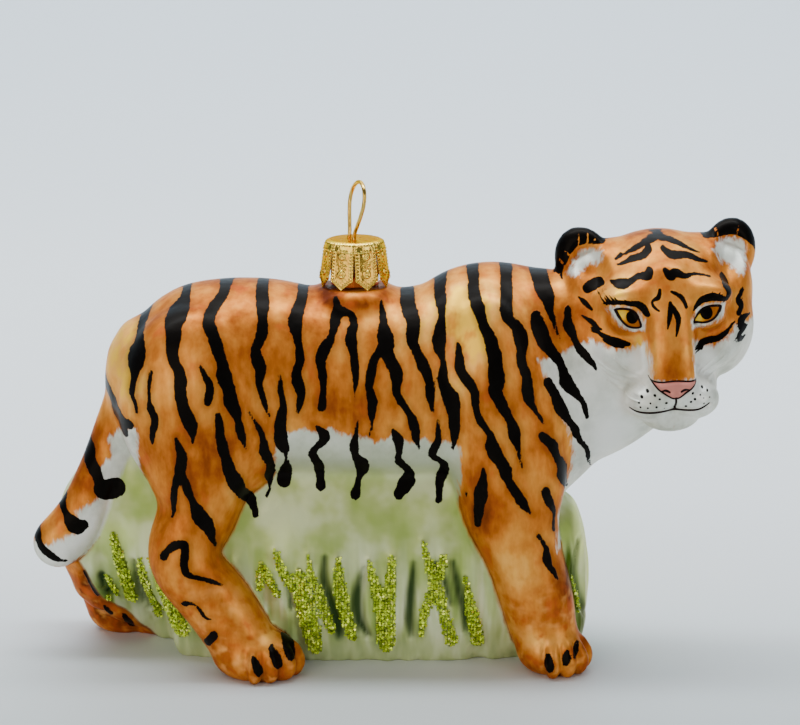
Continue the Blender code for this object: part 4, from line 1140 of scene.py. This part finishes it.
class Shade:
    """A material whose nodes are made by short calls."""

    def __init__(self, name):
        self.material = bpy.data.materials.new(name)
        self.material.use_nodes = True
        self.nodes = self.material.node_tree.nodes
        self.links = self.material.node_tree.links
        self.shader = self.nodes["Principled BSDF"]

    def plug(self, socket, value):
        if isinstance(value, bpy.types.NodeSocket):
            self.links.new(value, socket)
        elif isinstance(value, (tuple, list)) and len(value) == 3 and len(socket.default_value) == 4:
            socket.default_value = (*value, 1.0)
        else:
            socket.default_value = value

    def node(self, kind, inputs=(), out=0, **settings):
        made = self.nodes.new(kind)
        for key, value in settings.items():
            setattr(made, key, value)
        for key, value in dict(inputs).items():
            self.plug(made.inputs[key], value)
        return made.outputs[out]

    def mm(self):
        """The place on the object, in millimetres."""
        at = self.node("ShaderNodeTexCoord", out="Object")
        return self.node("ShaderNodeVectorMath", {0: at, 3: 1000.0}, operation="SCALE")

    def field(self, name):
        return self.node("ShaderNodeAttribute", out="Fac", attribute_name=name)

    def noise(self, at, scale, detail=3.0, rough=0.5):
        inputs = {"Vector": at, "Scale": scale, "Detail": detail, "Roughness": rough}
        return self.node("ShaderNodeTexNoise", inputs)

    def stretched(self, at, x, y, z):
        return self.node("ShaderNodeVectorMath", {0: at, 1: (x, y, z)}, operation="MULTIPLY")

    def math(self, operation, a, b=0.0, c=0.0):
        return self.node("ShaderNodeMath", {0: a, 1: b, 2: c}, operation=operation)

    def plus(self, a, b):
        return self.math("ADD", a, b)

    def times(self, a, b):
        return self.math("MULTIPLY", a, b)

    def most(self, a, b):
        return self.math("MAXIMUM", a, b)

    def rest_of(self, share):
        return self.math("SUBTRACT", 1.0, share)

    def height(self, at):
        return self.node("ShaderNodeSeparateXYZ", {0: at}, out=2)

    def rise(self, value, low, high, to_low=0.0, to_high=1.0):
        inputs = {"Value": value, "From Min": low, "From Max": high, "To Min": to_low, "To Max": to_high}
        return self.node("ShaderNodeMapRange", inputs, interpolation_type="SMOOTHSTEP")

    def mix(self, share, a, b):
        """Between two colours."""
        return self.node("ShaderNodeMix", {0: share, 6: a, 7: b}, out=2, data_type="RGBA")

    def blend(self, share, a, b):
        """Between two numbers."""
        return self.node("ShaderNodeMix", {0: share, 2: a, 3: b})

    def ramp(self, share, stops):
        made = self.nodes.new("ShaderNodeValToRGB")
        self.plug(made.inputs[0], share)
        points = made.color_ramp.elements
        while len(points) < len(stops):
            points.new(0.5)
        for point, (at, colour) in zip(points, stops):
            point.position = at
            point.color = (*colour, 1.0)
        return made.outputs[0]

    def bump(self, height, distance, strength):
        return self.node("ShaderNodeBump", {"Height": height, "Distance": distance, "Strength": strength})

    def set(self, **values):
        for key, value in values.items():
            self.plug(self.shader.inputs[key.replace("_", " ")], value)
        return self.material


# Colour ramps: (place on the ramp, colour).
ORANGE_TONES = [
    (0.0, (0.11, 0.018, 0.004)),
    (0.22, (0.36, 0.078, 0.008)),
    (0.45, (0.63, 0.19, 0.022)),
    (0.7, (0.84, 0.33, 0.05)),
    (0.86, (0.96, 0.46, 0.09)),
    (1.0, (1.0, 0.56, 0.05)),
]
PEARL_TONES = [(0.0, (0.54, 0.55, 0.46)), (0.5, (0.74, 0.75, 0.66)), (1.0, (0.90, 0.90, 0.83))]
PALE_GRASS = [(0.0, (0.34, 0.44, 0.10)), (0.5, (0.47, 0.54, 0.19)), (1.0, (0.66, 0.70, 0.38))]
DEEP_GRASS = [
    (0.0, (0.20, 0.31, 0.05)),
    (0.3, (0.40, 0.50, 0.14)),
    (0.6, (0.56, 0.64, 0.28)),
    (1.0, (0.90, 0.94, 0.64)),
]
# The iris, from its painted shade to its painted light.
AMBER_SHADE_TO_LIGHT = [(0.0, (0.40, 0.11, 0.006)), (0.5, (0.76, 0.30, 0.01)), (1.0, (0.95, 0.60, 0.04))]
FLAKE_TONES = [
    (0.0, (0.16, 0.24, 0.005)),
    (0.4, (0.44, 0.60, 0.012)),
    (0.75, (0.70, 0.84, 0.05)),
    (1.0, (0.95, 1.0, 0.25)),
]


def orange_lacquer(s, at, height, patch):
    """Airbrushed orange, which pools and thins on the paws."""
    broad = s.times(s.noise(at, 0.075, 3.0, 0.55), 0.4)
    brush = s.times(s.noise(s.stretched(at, 1.2, 1.2, 0.35), 0.5, 3.0, 0.55), 0.18)
    tone = s.plus(s.plus(broad, s.times(patch, 0.42)), brush)
    # The tone field adds the airbrush's patches, painted highlights and painted shade.
    tone = s.plus(s.rise(tone, 0.3, 0.7, 0.14, 0.84), s.field("tone"))
    rust = s.noise(s.stretched(at, 1.4, 1.4, 0.9), 0.14, 3.0, 0.6)
    pool = s.noise(s.stretched(at, 1.0, 1.0, 1.2), 0.36, 2.0, 0.45)
    low_down = s.rise(height, 26.0, 8.0)
    colour = s.ramp(tone, ORANGE_TONES)
    colour = s.mix(s.rise(rust, 0.55, 0.70, 0.0, 0.55), colour, (0.60, 0.10, 0.016))
    colour = s.mix(s.times(low_down, s.rise(pool, 0.48, 0.80, 0.0, 0.8)), colour, (1.0, 0.44, 0.10))
    return s.mix(s.times(low_down, s.rise(pool, 0.50, 0.28, 0.0, 0.9)), colour, (0.50, 0.09, 0.012))


def white_lacquer(s, height, patch):
    """Pearly white, which takes the grass's green and painted shade low on the belly, and painted highlights
    where the tone field is raised.
    """
    colour = s.ramp(s.rise(patch, 0.3, 0.7), PEARL_TONES)
    # The grass's green and painted shade: darker and greener low on the belly.
    low = s.times(s.field("belly"), s.rise(height, 50.0, 36.0, 0.25, 0.9))
    colour = s.mix(low, colour, (0.40, 0.46, 0.27))
    # Painted highlights: lighter where the tone field is raised.
    return s.mix(s.rise(s.field("tone"), 0.02, 0.5), colour, (1.0, 1.0, 0.95))


def grass_lacquer(s, at, height, blade, depth):
    """Pale, clouded green above, and blades of several greens below, with painted light and painted shade.
    """
    cloud = s.noise(at, 0.09, 3.0, 0.5)
    pale = s.ramp(s.rise(cloud, 0.35, 0.65), PALE_GRASS)
    deep = s.ramp(s.rise(blade, 0.34, 0.66), DEEP_GRASS)
    slit = s.plus(s.field("groove"), s.times(s.plus(blade, -0.5), 2.6))
    colour = s.mix(s.times(depth, 0.75), pale, deep)
    # Painted light: lighter near the foot of the grass, as if lit from the floor.
    colour = s.mix(s.rise(height, 9.0, 1.0, 0.0, 0.6), colour, (0.72, 0.80, 0.44))
    # Painted highlights and painted shade from the tone field.
    colour = s.mix(s.rise(s.field("tone"), 0.0, 0.5), colour, (0.80, 0.90, 0.32))
    colour = s.mix(s.rise(s.field("tone"), -0.05, -0.5), colour, (0.07, 0.12, 0.01))
    # Painted shade in the grooves and between the blades.
    colour = s.mix(s.rise(slit, 0.9, -0.9, 0.0, 0.95), colour, (0.010, 0.034, 0.008))
    return s.mix(s.rise(s.field("bed"), 0.3, -0.3, 0.0, 0.8), colour, (0.10, 0.15, 0.006))


def lacquered_glass():
    """Coloured lacquer over silvered glass, and enamel laid over it."""
    s = Shade("lacquered_glass")
    at = s.mm()
    height = s.height(at)
    depth = s.rise(height, 30.0, 6.0)
    patch = s.noise(s.stretched(at, 1.0, 1.0, 0.7), 0.17, 4.0, 0.6)
    blade = s.noise(s.stretched(at, 1.0, 0.6, 0.14), 0.3, 2.0, 0.5)
    ragged = s.plus(s.noise(s.stretched(at, 1.6, 1.6, 0.45), 0.7, 4.0, 0.6), -0.5)
    hair = s.plus(s.noise(s.stretched(at, 1.0, 1.0, 0.6), 1.1, 3.0, 0.6), -0.5)

    # Where each lacquer lies. Under the belly the grass fades into the white.
    is_white = s.rise(s.plus(s.field("white"), s.times(ragged, 3.0)), -0.45, 0.55)
    edge = s.plus(s.field("grass"), s.times(ragged, 0.8))
    sharp = s.rise(edge, -0.6, 0.5)
    soft = s.blend(s.field("belly"), sharp, s.rise(edge, -5.0, 1.0))
    on_grass = s.blend(is_white, sharp, soft)
    is_orange = s.rest_of(s.most(on_grass, is_white))
    colour = s.mix(is_white, orange_lacquer(s, at, height, patch), white_lacquer(s, height, patch))
    colour = s.mix(on_grass, colour, grass_lacquer(s, at, height, blade, depth))

    # Painted shade: the orange is darker along its crease with the grass.
    crease_shade = s.rise(s.math("ABSOLUTE", s.field("grass")), 2.2, 0.0, 0.0, 0.6)
    colour = s.mix(s.times(crease_shade, is_orange), colour, (0.16, 0.03, 0.004))

    # Eyes with painted light across each iris, nose and thin lines.
    in_eye = s.rise(s.field("iris"), -0.03, 0.06)
    lines = s.rise(s.field("lines"), 0.05, -0.05)
    colour = s.mix(in_eye, colour, s.ramp(s.rise(s.field("painted_iris_light"), 0.0, 0.9), AMBER_SHADE_TO_LIGHT))
    colour = s.mix(s.rise(s.field("pink"), -0.05, 0.05), colour, (0.68, 0.25, 0.20))
    colour = s.mix(lines, colour, (0.012, 0.004, 0.005))

    # Black enamel, with painted shade darkening the orange round the stripes.
    stripe = s.rise(s.plus(s.field("stripe"), s.times(hair, 0.7)), 0.07, -0.07)
    stripe = s.times(stripe, s.rest_of(s.times(sharp, s.rise(height, 26.0, 24.0))))
    marks = s.rise(s.plus(s.field("marks"), s.times(hair, 0.35)), 0.05, -0.05)
    pupil = s.times(s.rise(s.field("pupil"), -0.05, 0.05), in_eye)
    enamel = s.most(s.most(stripe, marks), pupil)
    # Painted shade round the stripes.
    stripe_shade = s.times(s.rise(s.field("stripe"), 1.3, 0.0, 0.0, 0.38), is_orange)
    colour = s.mix(stripe_shade, colour, (0.22, 0.045, 0.006))
    black = s.mix(s.noise(at, 0.8), (0.0008, 0.0006, 0.0006), (0.003, 0.0026, 0.0026))
    colour = s.mix(enamel, colour, black)

    # The paint's thickness, the fluting of the grass and the glass's own unevenness.
    dark = s.most(enamel, lines)
    ribs = s.times(s.times(blade, depth), s.times(on_grass, 9.0))
    lift = s.plus(s.plus(dark, s.times(s.noise(at, 2.2, 4.0, 0.6), 0.15)), ribs)
    lift = s.plus(lift, s.times(s.noise(at, 0.2, 2.0, 0.5), 3.0))
    through = s.blend(s.most(is_white, in_eye), 0.42, 0.26)
    return s.set(
        Base_Color=colour,
        Metallic=s.times(s.rest_of(dark), through),
        Roughness=s.blend(dark, s.rise(patch, 0.3, 0.7, 0.44, 0.33), 0.36),
        Specular_IOR_Level=0.06,
        Specular_Tint=(0.82, 0.62, 0.45),
        Normal=s.bump(lift, 0.08 * MM, 0.9),
        Coat_Weight=0.02,
        Coat_Roughness=0.16,
        Coat_IOR=1.45,
    )


def gold(name, colour, roughness, grain, hollows=0.0):
    """Bright gold, darker in the hollows of its stamping."""
    s = Shade(name)
    at = s.mm()
    wear = s.noise(at, 1.3, 4.0, 0.6)
    tint = s.mix(s.rise(wear, 0.35, 0.65), colour, tuple(min(c * 1.25, 1.0) for c in colour))
    if hollows:
        deep = s.rise(s.field("raised"), 0.10, 0.01, 0.0, hollows)
        tint = s.mix(deep, tint, tuple(c * f for c, f in zip(colour, (0.55, 0.4, 0.3))))
    dull = s.rise(wear, 0.3, 0.7, roughness + 0.1, roughness)
    normal = s.bump(s.noise(at, grain, 3.0, 0.6), 0.03 * MM, 0.5)
    edge = (0.85, 0.50, 0.12)
    return s.set(Base_Color=tint, Metallic=1.0, Roughness=dull, Normal=normal, Specular_Tint=edge)


def glitter_flakes():
    s = Shade("glitter_flakes")
    dull = s.rise(s.noise(s.mm(), 3.0, 2.0), 0.3, 0.7, 0.18, 0.34)
    return s.set(Base_Color=s.ramp(s.field("flake"), FLAKE_TONES), Metallic=0.6, Roughness=dull)


def silvered_neck():
    """Silvered glass, with the orange lacquer run a little way up it."""
    s = Shade("silvered_neck")
    at = s.mm()
    tint = s.mix(s.rise(s.noise(at, 0.6), 0.4, 0.6), (0.62, 0.62, 0.64), (0.78, 0.78, 0.80))
    run_up = s.rise(s.plus(s.height(at), s.noise(at, 0.7)), 77.5, 75.5)
    tint = s.mix(run_up, tint, (0.50, 0.10, 0.012))
    return s.set(Base_Color=tint, Metallic=0.9, Roughness=s.rise(s.noise(at, 1.5), 0.3, 0.7, 0.1, 0.25))


def pale_floor():
    """A pale sweep, bluer up the backdrop, with painted shade darkening the floor towards the camera."""
    s = Shade("pale_floor")
    at = s.node("ShaderNodeTexCoord", out="Object")
    away = s.node("ShaderNodeSeparateXYZ", {0: at}, out=1)
    tint = s.mix(s.noise(at, 3.0), (0.83, 0.85, 0.85), (0.85, 0.86, 0.86))
    tint = s.mix(s.rise(away, 0.35, 1.1), tint, (0.66, 0.75, 0.82))
    # Painted shade: the floor darker in front of the ornament.
    return s.set(Base_Color=s.mix(s.rise(away, -0.12, 0.12), (0.45, 0.48, 0.47), tint), Roughness=0.6)


# ---- glitter ----

FLAKE_GROUND = 0.085  # square millimetres of grass for each flake
FLAKE_RADII = (0.2, 0.3)
FLAKE_LEAN = 0.42
BAKE_RADIUS = 0.0015  # a flake's on the bake map
HEXAGON = [(math.cos(math.tau * k / 6), math.sin(math.tau * k / 6)) for k in range(6)]


def flakes(mesh, points, normals, grassy, bed):
    """For each flake: where it is glued, its centre, two radii across it, and how bright it is."""
    rng = random.Random(SEEDS["flakes"])
    for face_ in mesh.polygons:
        ids = list(face_.vertices)
        outside = bed[ids].mean()
        if outside > 0.15 or grassy[ids].mean() < 0.4:
            continue
        count = face_.area / MM**2 / FLAKE_GROUND * (1.0 if outside < -0.25 else 0.6)
        count = int(count) + (rng.random() < count % 1)
        for _ in range(count):
            pick = [rng.random() for _ in ids]
            total = sum(pick)
            at = sum((Vector(points[i]) * (w / total) for i, w in zip(ids, pick)), Vector())
            out = Vector(normals[ids[0]])
            tilted = (out + Vector([rng.gauss(0, FLAKE_LEAN) for _ in range(3)])).normalized()
            side = tilted.orthogonal().normalized()
            side.rotate(Matrix.Rotation(rng.uniform(0, math.tau), 3, tilted))
            radius = rng.uniform(*FLAKE_RADII)
            centre = at + out * rng.uniform(0.08, 0.28)
            yield at, centre, side * radius, tilted.cross(side) * radius, rng.gauss(0.5, 0.27)


def build_glitter(skin, points, normals, grassy, bed):
    """Flakes of glitter, glued along the blades of grass."""
    verts, faces, shades, corners = [], [], [], []
    for at, centre, side, other, shade in flakes(skin.data, points, normals, grassy, bed):
        faces.append(tuple(range(len(verts), len(verts) + len(HEXAGON))))
        verts += [(centre + side * c + other * s + CENTRING) * MM for c, s in HEXAGON]
        shades.append(min(max(shade, 0.0), 1.0))
        # Its place on the bank, unrolled: along it on each side, and up it.
        u = 0.05 + 0.25 * (at.x + 62) / 100 + (0.0 if at.y < 0 else 0.5)
        v = 0.05 + at.z / 50
        corners += [(u + BAKE_RADIUS * c, v + BAKE_RADIUS * s) for c, s in HEXAGON]
    made = bpy.data.meshes.new("grass_glitter")
    made.from_pydata(verts, [], faces)
    layer = made.attributes.new("flake", "FLOAT", "FACE")
    layer.data.foreach_set("value", np.array(shades, np.float32))
    bake = made.uv_layers.new(name="OFBake")
    bake.data.foreach_set("uv", np.array(corners, np.float32).ravel())
    return linked("grass_glitter", made)


# ---- the cap and the wire ----

# The cap's side, from its rim down: radius and z.
CAP_SIDE = [
    (CAP_TOP_R - 1.0, CAP_TOP_Z - 0.2),
    (CAP_TOP_R - 0.58, CAP_TOP_Z - 0.34),
    (CAP_TOP_R - 0.24, CAP_TOP_Z - 0.72),
    (CAP_TOP_R - 0.03, CAP_TOP_Z - 1.3),
    (CAP_TOP_R + 0.14, CAP_TOP_Z - 2.1),
    (CAP_TOP_R + 0.3, 79.1),
    (CAP_TOP_R + 0.58, 77.1),
    (CAP_TOP_R + 0.84, 75.4),
    (CAP_SKIRT_R - 0.24, 74.4),
    (CAP_SKIRT_R - 0.14, 72.8),
]
SLIT_TOP_Z, SHOULDER_Z, PETAL_TIP_Z = 79.9, 75.0, 72.8
SLIT_SHARE = 0.03  # of a petal's width, at the top of the slit
BEAD_PITCH = 0.62
CAP_WALL = 0.22
RINGED_BALLS = [(79.3, 0.5), (75.95, 0.58)]  # z, and the ring's radius
# Small balls on each half of a petal: across and z.
BALLS = [(0.62, 77.65), (0.0, 78.15), (0.3, 77.65), (0.0, 77.2), (0.62, 76.9), (0.75, 80.3), (0.25, 80.3)]
RIM_BALLS = [(0.24, 81.0), (0.24, 80.45)]  # in from the petal's edge, and z


def petal_foot(across, half):
    """z of the petal's lower edge, which comes to a point."""
    return PETAL_TIP_Z + (SHOULDER_Z - 0.25 - PETAL_TIP_Z) * min(abs(across) / half, 1.0)


def stamped(across, z, half, foot):
    """Height of the cap's stamping: across is millimetres from the petal's middle."""

    def ridge(away, width):
        return math.exp(-((away / width) ** 2))

    def beads(along):
        return (0.5 + 0.5 * math.cos(math.tau * along / BEAD_PITCH)) ** 2

    height = 0.0
    edge = half * 0.97 - abs(across)
    if z < CAP_TOP_Z - 1.9:
        height += 0.08 * ridge(edge - 0.08, 0.08) + 0.28 * beads(z) * ridge(edge - 0.4, 0.17)
        height += 0.07 * ridge(edge - 0.72, 0.09)
    above = (z - foot) * 0.7
    height += 0.12 * ridge(above - 0.08, 0.1) + 0.24 * beads(across * 1.3) * ridge(above - 0.46, 0.16)
    for ball_z, ring in RINGED_BALLS:
        away = math.hypot(across, z - ball_z)
        height += 0.26 * ridge(away - ring, 0.15) + 0.34 * ridge(away, 0.2)
    for aside, ball_z in BALLS:
        height += 0.22 * ridge(math.hypot(abs(across) - aside, (z - ball_z) * 1.2), 0.17)
    if z > SLIT_TOP_Z:
        height += 0.08
        for aside, ball_z in RIM_BALLS:
            height += 0.16 * ridge(math.hypot(half - abs(across) - aside, z - ball_z), 0.17)
    return height + 0.16 * beads(across * 1.1) * ridge(z - (CAP_TOP_Z - 0.62), 0.2)


def build_cap():
    """The crown cap: a lid, and petals that are parted by slits."""
    bm = bmesh.new()
    raised = bm.verts.layers.float.new("raised")
    columns, drops, lid_lines = 44, 88, 29
    across = [2 * column / columns - 1 for column in range(columns + 1)]
    side = np.array(smooth_stations(CAP_SIDE, 8))
    rim_r, rim_z = side[0]
    pitch = math.tau / PETALS

    def vertex(radius, angle, z, height=0.0):
        r = radius + height
        grain = noise.noise(Vector((r * math.cos(angle), r * math.sin(angle), z)) * 2.4)
        r += 0.02 * grain
        at = Vector((CAP_X + r * math.cos(angle), r * math.sin(angle), min(z + 0.03 * grain, CAP_TOP_Z)))
        made = bm.verts.new((at + CENTRING) * MM)
        made[raised] = height
        return made

    def lid_line(middle, radius):
        dimple = noise.noise(Vector((radius * 1.6, middle * 3.0, 5.0)))
        z = CAP_TOP_Z - 0.14 - 0.06 * (radius / rim_r) ** 4 + 0.07 * dimple
        return [vertex(radius, middle + u * pitch / 2, z) for u in across]

    def petal_vertex(middle, even_z, u):
        """A vertex at a share u of the way from the petal's middle to its edge."""
        z, foot = even_z, petal_foot(u, 1.0)
        if z < SHOULDER_Z:
            z = SHOULDER_Z + (foot - SHOULDER_Z) * (SHOULDER_Z - z) / (SHOULDER_Z - PETAL_TIP_Z)
        radius = float(np.interp(-z, -side[:, 1], side[:, 0]))
        half = math.pi * radius / PETALS
        open_ = min(max((SLIT_TOP_Z - z) / 0.6, 0.0), 1.0)
        width = 1 - open_ * (SLIT_SHARE + 0.012 * (SLIT_TOP_Z - z))
        flat = 0.4 * min(max((80.4 - z) / 3.0, 0.0), 1.0)
        chord = math.cos(pitch / 2) / math.cos(u * pitch / 2)
        angle = middle + u * width * pitch / 2
        return vertex(radius * (1 + flat * (chord - 1)), angle, z, stamped(u * half, z, half, foot))

    for petal in range(PETALS):
        middle = -math.pi / 2 + pitch * (petal + 0.5)
        grid = [lid_line(middle, radius) for radius in np.linspace(0.5, rim_r, lid_lines + 1)[:-1]]
        for drop in range(drops + 1):
            even_z = rim_z + (PETAL_TIP_Z - rim_z) * drop / drops
            grid.append([petal_vertex(middle, even_z, u) for u in across])
        for one, two in zip(grid, grid[1:]):
            for k in range(columns):
                bm.faces.new((one[k], two[k], two[k + 1], one[k + 1]))
        top = vertex(0.0, 0.0, CAP_TOP_Z - 0.06)
        for k in range(columns):
            bm.faces.new((top, grid[0][k], grid[0][k + 1]))
    bmesh.ops.remove_doubles(bm, verts=bm.verts, dist=0.012 * MM)
    obj = object_from(bm, "crown_cap")
    smoothed(obj.data)
    wall = obj.modifiers.new("Wall", "SOLIDIFY")
    wall.thickness = CAP_WALL * MM
    wall.offset = -1.0
    return obj


def wire_at(across, z):
    """A point of the wire, which leans and is turned about its foot."""
    x = CAP_X + LOOP_X + max(z - CAP_TOP_Z, 0.0) * LOOP_LEAN + across * math.cos(LOOP_TURN)
    return Vector((x, -across * math.sin(LOOP_TURN), z)) + CENTRING


def build_hanger():
    """The wire: two legs that spring apart in the tube, and the loop over the cap."""
    in_tube = [(2.7, 75.4), (2.4, 77.0), (1.6, 79.8), (WIRE_SPACING, 81.4)]
    rising = [(WIRE_SPACING, 82.8), (2.1, 84.6), (3.1, 86.8), (LOOP_HALF_WIDTH, 89.0)]
    over = [(3.1, LOOP_TOP_Z - 1.8), (1.8, LOOP_TOP_Z - 0.5), (0.0, LOOP_TOP_Z)]
    half = in_tube + rising + over
    path = [wire_at(-x, z) for x, z in half] + [wire_at(x, z) for x, z in reversed(half[:-1])]
    curve = bpy.data.curves.new("wire_hanger", "CURVE")
    curve.dimensions = "3D"
    curve.resolution_u = 10
    curve.bevel_depth = WIRE_R * 0.96 * MM
    curve.bevel_resolution = 5
    curve.use_fill_caps = True
    line = curve.splines.new("BEZIER")
    line.bezier_points.add(len(path) - 1)
    for point, at in zip(line.bezier_points, path):
        point.co = at * MM
        point.handle_left_type = point.handle_right_type = "AUTO"
    mesh = baked_mesh(linked("wire_bend", curve))
    smoothed(mesh)
    return linked("wire_hanger", mesh)


# ---- the ornament ----

skin, *painted = build_skin()
skin.data.materials.append(lacquered_glass())
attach(skin, "root")
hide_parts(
    "trunk", "neck", "head", "ear_left", "ear_right", "eye_left", "eye_right", "nose", "tail", "grass",
    "foreleg_left", "foreleg_right", "hindleg_left", "hindleg_right",
)

glitter = build_glitter(skin, *painted)
glitter.data.materials.append(glitter_flakes())
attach(glitter, "root")

crown = build_cap()
crown.data.materials.append(gold("stamped_gold", (1.0, 0.60, 0.09), 0.16, 1.2, 0.6))
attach(crown, "root")
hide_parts("cap")

wire = build_hanger()
wire.data.materials.append(gold("bright_wire", (0.70, 0.45, 0.10), 0.13, 0.8))
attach(wire, "root")
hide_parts("hanger")

tube = frame["nodes"]["glass_neck"]
tube.data.materials.clear()
tube.data.materials.append(silvered_neck())

# ---- floor, light and camera: in metres ----

FLOOR_FRONT, FLOOR_BACK, FLOOR_HALF_WIDTH = -1.6, 0.5, 2.5
SWEEP_R, BACKDROP_TOP = 0.7, 2.6


def build_floor():
    """A pale sweep: a floor that curves up into a backdrop."""
    bm = bmesh.new()
    line = [(FLOOR_FRONT, 0.0), (FLOOR_BACK, 0.0)]
    for k in range(1, 17):
        a = math.pi / 2 * k / 16
        line.append((FLOOR_BACK + SWEEP_R * math.sin(a), SWEEP_R * (1 - math.cos(a))))
    line.append((FLOOR_BACK + SWEEP_R, BACKDROP_TOP))
    rows = [[bm.verts.new((x, y, z)) for x in (-FLOOR_HALF_WIDTH, FLOOR_HALF_WIDTH)] for y, z in line]
    for one, two in zip(rows, rows[1:]):
        bm.faces.new((one[0], one[1], two[1], two[0])).smooth = True
    floor = object_from(bm, "floor")
    floor.data.materials.append(pale_floor())


def lamp(name, at, size, power, colour=(1.0, 1.0, 1.0), aim=(0.0, 0.0, 0.045)):
    data = bpy.data.lights.new(name, "AREA")
    data.shape = "RECTANGLE"
    data.size, data.size_y = size
    data.energy = power
    data.color = colour
    obj = linked(name, data)
    obj.location = at
    obj.rotation_euler = (Vector(at) - Vector(aim)).to_track_quat("Z", "Y").to_euler()


build_floor()
lamp("overhead", (-0.1, 0.2, 0.7), (1.0, 0.8), 4.0, (1.0, 0.97, 0.92))
lamp("front_left", (-0.8, -1.2, 0.5), (1.4, 1.2), 11.0, (1.0, 0.95, 0.87))
lamp("front_right", (1.1, -0.9, 0.5), (0.7, 1.1), 5.0)
lamp("backdrop", (0.0, 0.15, 1.3), (2.0, 0.4), 36.0, (0.81, 0.91, 1.0), (0.0, 1.15, 0.35))

world = bpy.data.worlds.new("studio")
bpy.context.scene.world = world
world.use_nodes = True
world.node_tree.nodes["Background"].inputs["Color"].default_value = (0.80, 0.87, 1.0, 1.0)
world.node_tree.nodes["Background"].inputs["Strength"].default_value = 0.16

CAMERA_ELEVATION = math.radians(13.0)
CAMERA_DISTANCE = 0.5
AIM = Vector((1.06, 0.0, 57.5)) + CENTRING
SEEN_WIDTH = 154.4  # of the picture's plane at the aim
camera_data = bpy.data.cameras.new("camera")
camera_data.sensor_width = 36.0
camera_data.lens = camera_data.sensor_width * CAMERA_DISTANCE / (SEEN_WIDTH * MM)
camera_data.clip_start, camera_data.clip_end = 0.01, 20.0
camera = linked("camera", camera_data)
back = Vector((0.0, -math.cos(CAMERA_ELEVATION), math.sin(CAMERA_ELEVATION)))
camera.location = AIM * MM + back * CAMERA_DISTANCE
camera.rotation_euler = back.to_track_quat("Z", "Y").to_euler()
bpy.context.scene.camera = camera
